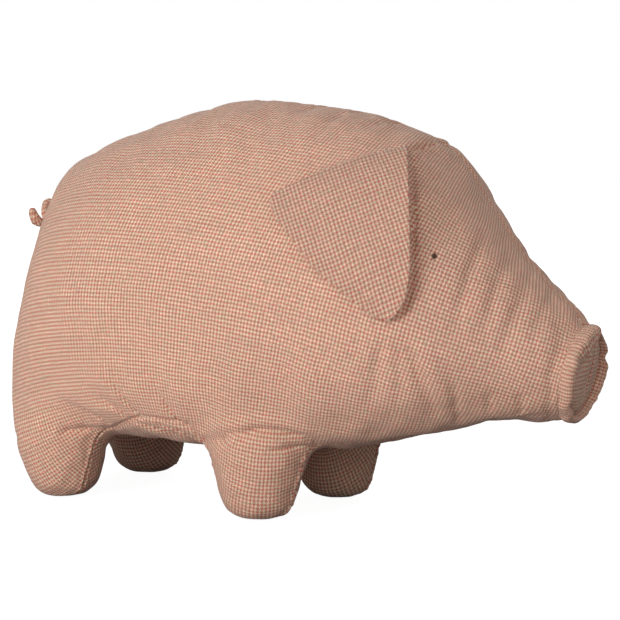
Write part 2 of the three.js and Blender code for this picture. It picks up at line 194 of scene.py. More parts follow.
def rows_at(rows, shares):
    """Rows of a table, read at shares of its length along an even curve through them."""
    rows = np.asarray(rows, float)
    padded = np.vstack([2 * rows[0] - rows[1], rows, 2 * rows[-1] - rows[-2]])
    place = np.clip(shares, 0, 1) * (len(rows) - 1)
    first = np.minimum(place.astype(int), len(rows) - 2)
    t = (place - first)[:, None]
    a, b, c, d = (padded[first + step] for step in range(4))
    return (2 * b + (c - a) * t + (2 * a - 5 * b + 4 * c - d) * t**2 + (3 * b - a - 3 * c + d) * t**3) / 2


def body_places(stations, angles):
    """Points of the body: stations run from the rump to the snout, angles from the crest over the right flank."""
    row = rows_at(SECTIONS, stations)
    length = RUMP_REACH + HEAD_REACH
    top = np.stack([row[:, 0] * length - RUMP_REACH, row[:, 1] * BACK_HEIGHT], 1)
    low = np.stack([row[:, 2] * length - RUMP_REACH, row[:, 3] * BACK_HEIGHT], 1)
    cos, sin = np.cos(angles), np.sin(angles)
    square = np.where(cos > 0, UPPER_SQUARENESS, row[:, 6])
    rise, spread = np.abs(cos) ** (2 / square), np.abs(sin) ** (2 / square)
    middle = low + (top - low) * row[:, 5:6]
    end = np.where((cos > 0)[:, None], top, low)
    point = middle + (end - middle) * rise[:, None]
    across = -np.sign(sin) * np.maximum(row[:, 4], 0) * BODY_HALF_WIDTH * spread
    return np.stack([point[:, 0] + SHIFT, across, point[:, 1]], 1)


SNOUT_FORWARDS = np.array([math.cos(SNOUT_LEAN), 0, -math.sin(SNOUT_LEAN)])
SNOUT_UPWARDS = np.array([math.sin(SNOUT_LEAN), 0, math.cos(SNOUT_LEAN)])
SNOUT_ROOT = body_places(np.array([1.0, 1.0]), np.array([0.0, math.pi])).mean(0)


def grid(along, across, place, grain=None):
    """A bmesh grid whose vertices are put where a function places their two shares, from 0 to 1. A second
    function lays its cloth flat, in metres."""
    bm = bmesh.new()
    bmesh.ops.create_grid(bm, x_segments=along, y_segments=across, size=1)
    shares = (np.array([v.co for v in bm.verts])[:, :2] + 1) / 2
    if grain:
        layer = bm.loops.layers.uv.new("grain")
        flat = grain(shares[:, 0], shares[:, 1])
        bm.verts.index_update()
        for face in bm.faces:
            for loop in face.loops:
                loop[layer].uv = flat[loop.vert.index]
    for vert, point in zip(bm.verts, place(shares[:, 0], shares[:, 1])):
        vert.co = point
    return bm


def object_from(bm, name):
    """Puts a bmesh in the scene as an object and frees it."""
    mesh = bpy.data.meshes.new(name)
    bm.to_mesh(mesh)
    bm.free()
    return add_object(name, mesh)


def closed(bm):
    """Joins a grid's meeting edges, fills its open ends and turns its faces outwards."""
    bmesh.ops.remove_doubles(bm, verts=bm.verts, dist=1e-6)
    bmesh.ops.holes_fill(bm, edges=[e for e in bm.edges if e.is_boundary], sides=0)
    bmesh.ops.recalc_face_normals(bm, faces=bm.faces)
    return bm


def body_form(inset=0.0, run_on=14 * MM):
    """The body and head as a closed form, run on past the snout's ring."""

    def place(station, turn):
        points = body_places(np.minimum(station * 1.02, 1), turn * 2 * math.pi)
        return points + np.maximum(station * 1.02 - 1, 0)[:, None] / 0.02 * run_on * SNOUT_FORWARDS

    bm = closed(grid(150, 110, place))
    if inset:
        shift_inwards(bm, inset)
    return bm


def shift_inwards(bm, inset):
    """Moves every vertex inwards along its normal."""
    bm.normal_update()
    for vert in bm.verts:
        vert.co -= vert.normal * inset


def leg_form(reach, across, step, inset=0.0):
    """One leg as a closed form."""

    def place(height, turn):
        row = rows_at(LEG_SECTIONS, height)
        angle = turn * 2 * math.pi
        lean = 1 - row[:, 0]
        x = reach + SHIFT + step[0] * lean + (row[:, 1] * LEG_HALF_LENGTH - inset) * np.cos(angle)
        y = across - math.copysign(1, across) * step[1] * lean + (row[:, 2] * LEG_HALF_WIDTH - inset) * np.sin(angle)
        return np.stack([x, y, inset + np.maximum(row[:, 0], 0) * (LEG_HEIGHT - inset)], 1)

    return closed(grid(44, 56, place))


def mesh_of(*forms):
    """One mesh that holds several bmeshes, which are freed."""
    whole = bmesh.new()
    for form in forms:
        part = bpy.data.meshes.new("part")
        form.to_mesh(part)
        form.free()
        whole.from_mesh(part)
        bpy.data.meshes.remove(part)
    mesh = bpy.data.meshes.new("whole")
    whole.to_mesh(mesh)
    whole.free()
    return mesh


def finished(obj):
    """The mesh of an object with its modifiers applied. The object goes."""
    bpy.context.view_layer.update()
    graph = bpy.context.evaluated_depsgraph_get()
    mesh = bpy.data.meshes.new_from_object(obj.evaluated_get(graph))
    mesh.materials.clear()
    bpy.data.objects.remove(obj)
    return mesh


def remeshed(mesh, size):
    """A mesh of even squares over the same closed form, with what overlaps joined."""
    obj = add_object("form", mesh)
    change = obj.modifiers.new("Remesh", "REMESH")
    change.mode = "VOXEL"
    change.voxel_size = size
    return finished(obj)


def add_object(name, mesh):
    """Puts a mesh in the scene as an object at the origin."""
    obj = bpy.data.objects.new(name, mesh)
    bpy.context.scene.collection.objects.link(obj)
    return obj


# Vertices as arrays.


def numbers_of(source, field, width, kind=float):
    """A field of a mesh's elements as an array of rows."""
    out = np.zeros(len(source) * width, kind)
    source.foreach_get(field, out)
    return out.reshape(-1, width)


def places_of(mesh):
    """A mesh's vertices as an array."""
    return numbers_of(mesh.vertices, "co", 3)


def set_places(mesh, places):
    """Puts a mesh's vertices where an array says."""
    mesh.vertices.foreach_set("co", np.ascontiguousarray(places, np.float32).ravel())
    mesh.update()


def normals_of(mesh):
    """A mesh's vertex normals as an array."""
    return numbers_of(mesh.vertex_normals, "vector", 3)


def edges_of(mesh):
    """A mesh's edges as pairs of vertex numbers."""
    return numbers_of(mesh.edges, "vertices", 2, np.int32)


def corners_of(mesh):
    """The vertex number of each corner of a mesh's faces."""
    return numbers_of(mesh.loops, "vertex_index", 1, np.int32)[:, 0]


def evened(values, edges, times, share=None, factor=0.5):
    """Values averaged with their neighbours' over and over, each by its share."""
    count = len(values)
    degree = np.bincount(edges.ravel(), minlength=count)[:, None].clip(1)
    weight = factor if share is None else factor * share[:, None]
    for _ in range(times):
        total = np.stack(
            [
                np.bincount(edges[:, 0], values[edges[:, 1], k], count)
                + np.bincount(edges[:, 1], values[edges[:, 0], k], count)
                for k in range(values.shape[1])
            ],
            1,
        )
        values = values + (total / degree - values) * weight
    return values


def smooth_step(value, low, high):
    """0 below low, 1 above high, and an even rise between."""
    t = np.clip((value - low) / (high - low), 0, 1)
    return t * t * (3 - 2 * t)


def noise_at(points, scale, seed=0.0):
    """Smooth noise of about -1 to 1 at an array of points, with bumps about one scale apart."""
    scale = np.broadcast_to(np.asarray(scale, float), (3,))
    scaled = points / scale + np.array([seed * 7.31, seed * 3.17, seed * 5.73])
    return np.array([noise.noise(Vector(p)) for p in scaled]) * 1.6


# Seams.


def belly_half_width(points):
    """Half width of the belly panel at each point, leaning with the leg that the point is on."""
    x = (points[:, 0] - SHIFT) / MM
    table = np.array(BELLY_SEAM, float)
    width = np.interp(x, table[:, 0], table[:, 1])
    width = np.where(x < table[0, 0], table[0, 1] + (x - table[0, 0]), width)
    width = np.where(x > table[-1, 0], table[-1, 1] - (x - table[-1, 0]), width) * MM
    for _, reach, across, step in LEGS:
        lean = np.clip(1 - points[:, 2] / LEG_HEIGHT, 0, 1)
        near = 1 - smooth_step(np.abs(points[:, 0] - SHIFT - reach - step[0] * lean), 34 * MM, 56 * MM)
        same = np.sign(points[:, 1]) == math.copysign(1, across)
        width = width - np.where(same, near * step[1] * lean, 0)
    return width


def belly_side(points):
    """Distance in Y outside the belly panel's seam, below zero on the panel."""
    outside = np.abs(points[:, 1]) - belly_half_width(points)
    return np.where(points[:, 2] < BELLY_TOP, outside, np.maximum(outside, 30 * MM))


def crest_side(points):
    """Distance to the pig's left of the seam that runs down the middle and strays a little on the forehead."""
    stray = np.interp((points[:, 0] - SHIFT) / MM, *np.array(CREST_STRAY, float).T)
    return points[:, 1] - stray * MM * smooth_step(points[:, 2], 90 * MM, 150 * MM)


def along_surface(side, points, normals):
    """A seam's side value turned into a distance along the surface."""
    probe = 0.4 * MM
    steps = np.eye(3) * probe
    slope = np.stack([(side(points + s) - side(points - s)) / (2 * probe) for s in steps], 1)
    slope -= (slope * normals).sum(1)[:, None] * normals
    return side(points) / np.linalg.norm(slope, axis=1).clip(0.4)


def cut_level(bm, layer, level, allowed):
    """Runs edges along the line where the number that a layer keeps on the vertices has one value."""
    nearly = 0.14
    snapped = {}
    crossing = []
    for edge in bm.edges:
        a, b = edge.verts
        low, high = a[layer] - level, b[layer] - level
        if low * high < 0 and allowed(a) and allowed(b):
            share = low / (low - high)
            if share < nearly:
                snapped.setdefault(a, a.co.lerp(b.co, share))
            elif share > 1 - nearly:
                snapped.setdefault(b, a.co.lerp(b.co, share))
            else:
                crossing.append(edge)
    for vert, place in snapped.items():
        vert.co = place
        vert[layer] = level
    made = dict.fromkeys(snapped)
    for edge in crossing:
        a, b = edge.verts
        low, high = a[layer] - level, b[layer] - level
        if low * high < 0:
            _, vert = bmesh.utils.edge_split(edge, a, low / (low - high))
            vert[layer] = level
            made[vert] = None
    # A dict keeps its order, so the faces are split in the same order each time.
    for face in dict.fromkeys(f for v in made for f in v.link_faces):
        ends = [v for v in face.verts if v in made]
        if len(ends) == 2 and not any(e.other_vert(ends[0]) is ends[1] for e in ends[0].link_edges):
            bmesh.utils.face_split(face, ends[0], ends[1])


# Shader maths.


class Wire:
    """A node's output that Python's operators work on, each adding one Math node."""

    def __init__(self, finish, socket):
        self.finish, self.socket = finish, socket

    def maths(self, operation, *others):
        return self.finish.node("ShaderNodeMath", {"operation": operation}, (self, *others))

    def __add__(self, other):
        return self.maths("ADD", other)

    def __sub__(self, other):
        return self.maths("SUBTRACT", other)

    def __rsub__(self, other):
        return self.finish.node("ShaderNodeMath", {"operation": "SUBTRACT"}, (other, self))

    def __mul__(self, other):
        return self.maths("MULTIPLY", other)

    def __truediv__(self, other):
        return self.maths("DIVIDE", other)

    def __mod__(self, other):
        return self.maths("FLOORED_MODULO", other)

    def __gt__(self, other):
        return self.maths("GREATER_THAN", other)

    def __lt__(self, other):
        return self.maths("LESS_THAN", other)


class Finish:
    """A material and the one method that adds its nodes."""

    def __init__(self, name, **constants):
        self.material = bpy.data.materials.new(name)
        self.material.use_nodes = True
        self.tree = self.material.node_tree
        self.shader = next(n for n in self.tree.nodes if n.type == "BSDF_PRINCIPLED")
        for socket, value in constants.items():
            self.shader.inputs[socket.replace("_", " ")].default_value = value

    def node(self, kind, settings=None, values=(), output=0):
        """Adds a node: its settings first, then the values or links of its sockets."""
        made = self.tree.nodes.new(kind)
        for name, value in (settings or {}).items():
            setattr(made, name, value)
        pairs = values.items() if isinstance(values, dict) else enumerate(values)
        for name, value in pairs:
            if isinstance(value, Wire):
                self.tree.links.new(value.socket, made.inputs[name])
            elif value is not None:
                made.inputs[name].default_value = value
        return Wire(self, made.outputs[output])

    def blend(self, share, first, second, kind="MIX"):
        """Two colours mixed by a share."""
        return self.node(
            "ShaderNodeMix",
            {"data_type": "RGBA", "blend_type": kind, "clamp_factor": True},
            {0: share, 6: first, 7: second},
            2,
        )

    def noise(self, place, scale, detail, roughness=0.5, output=0):
        """Smooth noise over a place: output 0 is a number and output 1 a colour."""
        values = {"Vector": place, "Scale": scale, "Detail": detail, "Roughness": roughness}
        return self.node("ShaderNodeTexNoise", {}, values, output)

    def bump(self, strength, distance, height):
        """A normal that a height in strength and metres stands up from."""
        values = {"Strength": strength, "Distance": distance, "Height": height}
        return self.node("ShaderNodeBump", {}, values)

    def feed(self, **links):
        """Links wires to the shader's sockets."""
        for socket, wire in links.items():
            self.tree.links.new(wire.socket, self.shader.inputs[socket.replace("_", " ")])


def colour(values):
    """An sRGB colour from 0 to 1 as the linear RGBA that nodes take."""
    return (*[v / 12.92 if v <= 0.04045 else ((v + 0.055) / 1.055) ** 2.4 for v in values], 1.0)


def checked_cotton(name="pig_cotton", tone=1.0):
    """Plain-woven cotton: two coloured and two cream threads in turn, both ways, as one small check. A tone below 1
    gives a darker copy of it, which is painted shade.
    """
    look = bpy.context.scene.pig_cloth
    known = bpy.data.materials.get(name)
    if known:
        return known
    cloth = Finish(name, Roughness=0.92, Sheen_Weight=0.22, Sheen_Roughness=0.45, Specular_IOR_Level=0.2)
    uv = cloth.node("ShaderNodeUVMap", {"uv_map": "grain"})
    wander = cloth.noise(uv, 160.0, 1.0, output=1)
    drift = cloth.noise(uv, 22.0, 2.0, output=1)

    def axes(vector):
        return [cloth.node("ShaderNodeSeparateXYZ", {}, (vector,), k) for k in (0, 1)]

    (across, up), (wander_x, wander_y), (drift_x, drift_y) = axes(uv), axes(wander), axes(drift)
    warp = across / (look.repeat_across / 4) + (wander_x - 0.5) * 0.6 + (drift_x - 0.5) * 3.4
    weft = up / (look.repeat / 4) + (wander_y - 0.5) * 0.6 + (drift_y - 0.5) * 3.4
    warp_thread, weft_thread = warp.maths("FLOOR"), weft.maths("FLOOR")
    warp_off, weft_off = warp - warp_thread - 0.5, weft - weft_thread - 0.5
    warp_on_top = ((warp_thread + weft_thread) % 2.0) > 0.5
    warp_dyed = (warp_thread % 4.0) < 1.5
    weft_dyed = (weft_thread % 4.0) < 1.5

    def thread_noise(number, along, seed):
        place = cloth.node("ShaderNodeCombineXYZ", {}, (number * 0.731, along * 0.16, seed))
        return cloth.noise(place, 1.0, 2.0, 0.7)

    slub_warp, slub_weft = thread_noise(warp_thread, weft, 0.0), thread_noise(weft_thread, warp, 9.0)
    crossing = cloth.node("ShaderNodeCombineXYZ", {}, (warp_thread, weft_thread, 0.0))
    fleck = cloth.node("ShaderNodeTexWhiteNoise", {"noise_dimensions": "2D"}, (crossing,), 0)
    tint = cloth.node("ShaderNodeTexWhiteNoise", {"noise_dimensions": "3D"}, (crossing,), 0)
    cream, rose, olive = colour(look.cream), colour(look.rose), colour(look.olive)

    def dye(slub, olive_share):
        share = (slub - 0.5) * 2.2 + (tint - 0.5) * look.mixed_yarn + olive_share
        return cloth.blend(share, rose, olive)

    deep = cloth.blend(0.3, dye(slub_warp, 0.36), colour((0.6, 0.25, 0.23)))
    warp_colour = cloth.blend(warp_dyed, cream, deep)
    weft_colour = cloth.blend(weft_dyed * 0.86, cream, dye(slub_weft, 0.17))
    woven = cloth.blend(warp_on_top, weft_colour, warp_colour)
    pale = cloth.blend((tint - 0.5) * look.mixed_yarn + 0.1, woven, olive)
    woven = cloth.blend(0.5, woven, pale)
    slub = cloth.node("ShaderNodeMix", {"data_type": "FLOAT"}, {0: warp_on_top, 2: slub_weft, 3: slub_warp})
    across_top = cloth.node("ShaderNodeMix", {"data_type": "FLOAT"}, {0: warp_on_top, 2: weft_off, 3: warp_off})
    along_top = cloth.node("ShaderNodeMix", {"data_type": "FLOAT"}, {0: warp_on_top, 2: warp_off, 3: weft_off})
    # Painted shade between the threads: each crossing is lighter on its crown and darker where the thread dips under.
    # The crown also raises the bump.
    crown = (1 - across_top * across_top * 3.4) * (1 - along_top * along_top * 1.8)
    shade = (slub - 0.5) * 0.6 + (fleck - 0.5) * look.flecks + crown * 0.3 + 0.82
    patch = cloth.noise(uv, 9.0, 3.0)
    strip = cloth.node("ShaderNodeCombineXYZ", {}, (across * 17.0, up * 185.0, 0.0))
    uneven = cloth.noise(strip, 1.0, 2.0, 0.6)
    # Tone darkens the whole cloth evenly: below 1 it is painted shade, as on the ears.
    shade = shade * ((patch - 0.5) * 0.14 + (uneven - 0.5) * 0.22 + 1) * tone
    grey = cloth.node("ShaderNodeCombineXYZ", {}, (shade, shade, shade))
    cloth.feed(Base_Color=cloth.blend(1.0, woven, grey, "MULTIPLY"))
    fuzz = cloth.noise(uv, 2600.0, 2.0)
    height = crown + (slub - 0.5) * 0.8 + (fuzz - 0.5) * 0.25
    bump = cloth.bump(look.weave_relief, 0.00025, height)
    cloth.feed(Normal=bump, Roughness=(fuzz - 0.5) * 0.1 + 0.92)
    return cloth.material


def fibre_filling():
    """White polyester fibre: fine tangled strands with pale hollows."""
    known = bpy.data.materials.get("pig_fibre")
    if known:
        return known
    fibre = Finish("pig_fibre", Roughness=0.9, Sheen_Weight=0.4, Sheen_Roughness=0.5, Specular_IOR_Level=0.25)
    place = fibre.node("ShaderNodeTexCoord", {}, (), "Object")
    bend = fibre.noise(place, 40.0, 4.0, output=1)
    bent = fibre.node("ShaderNodeMix", {"data_type": "VECTOR"}, {0: 0.06, 4: place, 5: bend}, 1)
    strands = fibre.noise(bent, 900.0, 5.0, 0.7)
    lumps = fibre.noise(place, 60.0, 3.0)
    tone = (strands * 0.6 + lumps * 0.4).maths("MULTIPLY", 1.2)
    fibre.feed(Base_Color=fibre.blend(tone, colour((0.83, 0.81, 0.77)), colour((0.98, 0.97, 0.95))))
    bump = fibre.bump(0.6, 0.001, strands + lumps)
    fibre.feed(Normal=bump)
    return fibre.material


def dark_thread():
    """Dark brown embroidery thread, twisted from fine strands."""
    known = bpy.data.materials.get("pig_thread")
    if known:
        return known
    look = bpy.context.scene.pig_eyes
    thread = Finish("pig_thread", Roughness=0.6, Sheen_Weight=0.2, Specular_IOR_Level=0.35)
    place = thread.node("ShaderNodeTexCoord", {}, (), "Object")
    strands = thread.node(
        "ShaderNodeTexWave",
        {"wave_type": "BANDS", "bands_direction": "DIAGONAL"},
        {"Vector": place, "Scale": 900.0, "Distortion": 3.0, "Detail": 2.0},
        0,
    )
    # Painted highlight: the raised bands of the twist get a colour up to 1.7 times as light as the thread's.
    thread.feed(Base_Color=thread.blend(strands, colour(look.colour), colour([c * 1.7 for c in look.colour])))
    bump = thread.bump(0.5, 0.0002, strands)
    thread.feed(Normal=bump)
    return thread.material


# Finishing pieces.


def dress(obj, material, body=None, nodes=()):
    """Gives a finished piece its material, slot and body, and hides the nodes that it stands for."""
    obj.data.materials.clear()
    obj.data.materials.append(material)
    for polygon in obj.data.polygons:
        polygon.use_smooth = True
    if body:
        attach(obj, body)
    if nodes:
        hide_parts(*nodes)
    return obj


def rounded(obj):
    """Gives a piece one level of subdivision."""
    smooth = obj.modifiers.new("Smooth", "SUBSURF")
    smooth.levels = smooth.render_levels = 1
    smooth.use_limit_surface = False


# Where the middle of a flat panel lies in its grain map, in metres. The panel's own place is added to it.
GRAIN_MIDDLE = 0.4


def unwrapped(obj, steer, towards, lean=0.0):
    """Lays a panel flat into its grain map with little stretch, in metres, turned to run along a direction.

    Lean bows the threads that cross this direction, away from the panel's middle height.
    """
    mesh = obj.data
    while mesh.uv_layers:
        mesh.uv_layers.remove(mesh.uv_layers[0])
    mesh.uv_layers.new(name="grain")
    bpy.context.view_layer.objects.active = obj
    for other in bpy.context.selected_objects:
        other.select_set(False)
    obj.select_set(True)
    bpy.ops.object.mode_set(mode="EDIT")
    bpy.ops.mesh.select_all(action="SELECT")
    bpy.ops.uv.unwrap(method="MINIMUM_STRETCH", fill_holes=False, margin=0.0, iterations=12)
    bpy.ops.object.mode_set(mode="OBJECT")
    flat = numbers_of(mesh.uv_layers["grain"].data, "uv", 2)
    corner, places = corners_of(mesh), places_of(mesh)
    flat_at = np.zeros((len(places), 2))
    flat_at[corner] = flat
    edges = edges_of(mesh)
    real = places[edges[:, 1]] - places[edges[:, 0]]
    drawn = flat_at[edges[:, 1]] - flat_at[edges[:, 0]]
    ratio = np.median(np.linalg.norm(real, axis=1) / np.linalg.norm(drawn, axis=1).clip(1e-9))
    middle = (places[edges[:, 1]] + places[edges[:, 0]]) / 2
    chosen = steer(middle)
    along = real @ np.asarray(towards, float)
    # The direction in the flat piece along which the wanted direction grows fastest.
    direction = np.linalg.lstsq(drawn[chosen] * ratio, along[chosen], rcond=None)[0]
    angle = math.atan2(direction[1], direction[0])
    turn = np.array([[math.cos(angle), -math.sin(angle)], [math.sin(angle), math.cos(angle)]])
    flat = flat * ratio @ turn
    if lean:
        height = places[:, 2]
        flat_at = flat_at * ratio @ turn
        off = np.clip(height - 142 * MM, -30 * MM, 1)
        flat_at[:, 0] -= lean * off * np.abs(off)
        flat = flat_at[corner]
    # The unwrap lays the piece at a place that differs between runs, so its middle goes to a fixed one.
    flat = flat + GRAIN_MIDDLE + places.mean(axis=0)[:2] - flat.mean(axis=0)
    mesh.uv_layers["grain"].data.foreach_set("uv", flat.ravel())
    return obj


def grained(obj, flat):
    """Carries a panel's grain map over from the plainer panel that was laid flat."""
    source, mesh = flat.data, obj.data
    corners = [v.co for v in source.vertices]
    tree = BVHTree.FromPolygons(corners, [tuple(face.vertices) for face in source.polygons])
    laid = numbers_of(source.uv_layers["grain"].data, "uv", 2)
    at = np.zeros((len(mesh.vertices), 2))
    for number, vert in enumerate(mesh.vertices):
        place, _, found, _ = tree.find_nearest(vert.co)
        face = source.polygons[found]
        weights = poly_3d_calc([corners[k] for k in face.vertices], place)
        at[number] = np.array(weights) @ laid[face.loop_start : face.loop_start + face.loop_total]
    layer = mesh.uv_layers.get("grain") or mesh.uv_layers.new(name="grain")
    layer.data.foreach_set("uv", at[corners_of(mesh)].ravel())
    bpy.data.objects.remove(flat)
    bpy.data.meshes.remove(source)


# The body's cloth.

# Folds of the right flank and over the crest, measured from between the feet in mm: points along each, its
# depth, its half width and the roll that swells above it. The left flank has the same, shallower.
FOLDS = [
    ([(58, -84, 62), (78, -92, 66.5), (97, -90, 70), (112, -83, 69), (126, -73, 65), (131, -54, 57)], 3.2, 3.0, 1.6),
    ([(36, -72, 54), (54, -84, 58), (69, -90, 60.5), (85, -91.5, 63), (100, -89, 68)], 2.2, 2.8, 1.0),
    ([(94, -90, 54), (109, -83, 55), (116, -75.5, 56), (124, -65, 56), (129, -52, 55)], 2.0, 2.6, 0.6),
    ([(-76, -86, 54), (-67, -83, 55), (-56, -77, 55.5), (-44, -73, 56.6), (-30, -76, 61)], 2.4, 3.2, 1.2),
    ([(-17, -102, 100), (-12.7, -99, 90.4), (-7.8, -95, 82.8), (-3, -90.4, 74.5), (0, -86, 68)], 2.6, 3.0, 0.0),
    ([(-56, -91, 76), (-50, -88.5, 73), (-43, -86, 70), (-37, -83, 66), (-33, -80, 62)], 1.8, 2.8, 0.4),
    ([(18, -102, 98), (21, -101, 92), (25, -97, 84), (29, -91, 74), (34, -86, 68)], 2.4, 3.0, 0.0),
    ([(-31, -97, 86), (-25, -94, 80), (-17, -90, 73), (-14, -85, 69)], 1.8, 2.6, 0.0),
    ([(-8, -84, 66), (4, -80, 62), (16, -74, 57), (28, -66, 53)], 2.2, 3.0, 1.0),
    ([(10, -85, 67), (22, -80, 63), (34, -74, 58), (42, -68, 54)], 1.8, 2.8, 0.8),
    (
        [(189, -46, 260), (190, -36, 265), (192, -28, 266.5), (194, -19, 268), (195.5, -10, 270), (194, 0, 271)],
        *(3.8, 2.6, 0.8),
    ),
    (
        [(194, -36, 265), (195.5, -42, 259), (203, -58.5, 239), (209, -69, 219), (212, -75.5, 199.5)]
        + [(213, -80, 177), (210.5, -83, 163.5), (205, -85.5, 153.5), (193, -88, 149)],
        *(3.4, 3.2, 0.0),
    ),
    (
        [(207, -84.5, 147), (211, -81.5, 134), (214.5, -78, 120), (217, -70.5, 104), (218, -59, 90), (216.5, -49, 82)],
        *(3.0, 4.6, 0.0),
    ),
    ([(217, -80, 147), (221, -77, 134), (225, -73, 120), (228, -66, 104), (229, -54, 90)], -1.6, 6.0, 0.0),
    ([(196, -89, 146), (192, -87.5, 128), (186, -83.6, 108), (178, -76.6, 90)], 1.95, 5.0, 0.0),
    ([(202, -86.5, 144), (204, -83.5, 128), (203, -78.5, 110), (197, -68, 88)], 1.56, 3.8, 0.0),
    ([(241, -19, 212), (244, -41.5, 197), (243.5, -56, 180), (241, -63.5, 163), (238, -68, 146)], 2.21, 5.0, 0.0),
    ([(255.5, -9, 195), (259, -34, 183.5), (259, -47.5, 169.5), (257.5, -54, 156.5), (254, -60, 142)], 2.21, 4.6, 0.0),
    ([(272, -9, 179.5), (273.5, -31, 169), (272, -43, 156), (269.5, -49.5, 141.5), (265, -54, 126)], 2.08, 4.6, 0.0),
    ([(284.5, -5, 168.5), (286.5, -25.5, 159.5), (285.5, -36, 149.5), (283, -43, 138)], 1.56, 4.0, 0.0),
    ([(235, -63.5, 108.5), (235, -58, 98), (231.5, -47.5, 87), (225.5, -31, 77)], 2.34, 3.6, 0.0),
    ([(255, -50.5, 102.5), (254, -44, 93.5), (249.5, -31.5, 83)], 2.08, 3.4, 0.0),
    ([(275.5, -42, 101.5), (274.5, -37, 93), (271, -28.5, 85)], 1.82, 3.2, 0.0),
    ([(126, -34, 286), (129, -16, 290.5), (130, 0, 291.5), (130, 16, 290.5)], 2.21, 5.0, 0.0),
    ([(150, -32, 278), (155, -16, 282.5), (158.5, 0, 284), (160, 16, 282)], 2.34, 5.0, 0.0),
    ([(211, -8, 256.5), (208, 2, 258), (207, 10, 257)], 1.82, 4.6, 0.0),
    ([(97, -28, 294), (99, -14, 296.5), (100, 0, 297), (100, 14, 296)], 1.3, 5.0, 0.0),
    ([(50, -34, 295), (54, -14, 299), (55, 0, 300), (55, 16, 299)], 1.56, 6.0, 0.0),
    ([(10, -24, 291), (12, 0, 294), (12, 18, 292)], 1.3, 6.0, 0.0),
    ([(-40, -24, 280), (-37, 0, 283), (-37, 18, 281)], 1.3, 6.0, 0.0),
]

# How many of them, from the first, are crisp.
CRISP_FOLDS = 12


def second_nearest(points, trees):
    """Distance from each point to the second nearest of several forms."""
    out = []
    for point in points:
        found = sorted(tree.find_nearest(point)[3] for tree in trees)
        out.append(found[1])
    return np.array(out)


def sewn_form(square):
    """The body and legs as one closed mesh of even squares, eased where they meet."""
    forms = [body_form()] + [leg_form(*leg[1:]) for leg in LEGS]
    trees = [BVHTree.FromBMesh(form) for form in forms]
    mesh = remeshed(mesh_of(*forms), square)
    places = places_of(mesh)
    share = 1 - smooth_step(second_nearest(places, trees), 4 * MM, 17 * MM)
    places = evened(places, edges_of(mesh), 34, share)
    places = evened(places, edges_of(mesh), 2)
    places[:, 2] = np.maximum(places[:, 2], 0)
    set_places(mesh, places)
    return mesh


def blown_up(mesh, held, look):
    """Where a cloth simulation carries the form's vertices when it is filled against its held seams."""
    scene = bpy.context.scene
    obj = add_object("blown", mesh.copy())
    group = obj.vertex_groups.new(name="seams")
    group.add([int(k) for k in np.flatnonzero(held)], 1.0, "REPLACE")
    change = obj.modifiers.new("Cloth", "CLOTH")
    settings = change.settings
    settings.quality = 4
    settings.mass = 0.2
    settings.tension_stiffness = settings.compression_stiffness = 12
    settings.shear_stiffness = 4
    settings.bending_stiffness = 0.15
    settings.use_pressure = True
    settings.uniform_pressure_force = look.pressure
    settings.shrink_min = -look.spare_cloth
    settings.effector_weights.gravity = 0
    settings.vertex_group_mass = "seams"
    change.point_cache.frame_end = look.steps
    for step in range(1, look.steps + 1):
        scene.frame_set(step)
    swollen = finished(obj)
    scene.frame_set(1)
    places = places_of(swollen)
    bpy.data.meshes.remove(swollen)
    return places


def seam_distance(places, normals):
    """Distance along the surface to the nearest seam."""
    belly = np.abs(along_surface(belly_side, places, normals))
    crest = np.abs(along_surface(crest_side, places, normals))
    return np.minimum(belly, np.where(belly_side(places) < 0, 1.0, crest))


def fold_lines():
    """The folds of both flanks and of the crest, as points in metres with their sizes."""
    for number, (points, depth, *sizes) in enumerate(FOLDS):
        line = np.array(points, float) * MM + np.array([SHIFT, 0, 0])
        crisp = number < CRISP_FOLDS
        yield line, (depth, *sizes), crisp
        if line[:, 1].max() <= 0:
            yield line * np.array([1, -1, 1]), (depth * 0.8, *sizes), crisp


def nearest_on(line, places):
    """Each point's distance from a line, its share along it and its height above it."""
    best, share, above = np.full(len(places), 1.0), np.zeros(len(places)), np.zeros(len(places))
    for number, (a, b) in enumerate(zip(line, line[1:])):
        t = np.clip(((places - a) @ (b - a)) / ((b - a) @ (b - a)), 0, 1)
        nearest = a + t[:, None] * (b - a)
        gap = np.linalg.norm(places - nearest, axis=1)
        closer = gap < best
        best = np.where(closer, gap, best)
        share = np.where(closer, (number + t) / (len(line) - 1), share)
        above = np.where(closer, places[:, 2] - nearest[:, 2], above)
    return best, share, above


def fold_shift(places):
    """How far each point sinks into or swells beside the folds."""
    out = np.zeros(len(places))
    for line, (depth, width, roll), crisp in fold_lines():
        best, share, above = nearest_on(line, places)
        fade = np.clip(np.sin(np.pi * share), 0, 1) ** 0.6
        sink = depth * np.exp(-((best / (width * MM)) ** 2))
        if crisp:
            sink = 0.75 * sink + 0.55 * depth * np.exp(-((best / (0.38 * width * MM)) ** 2))
        swell = roll * np.exp(-(((best - 2.4 * width * MM) / (1.6 * width * MM)) ** 2)) * (above > 0)
        out += (swell - sink) * fade * MM
    return out


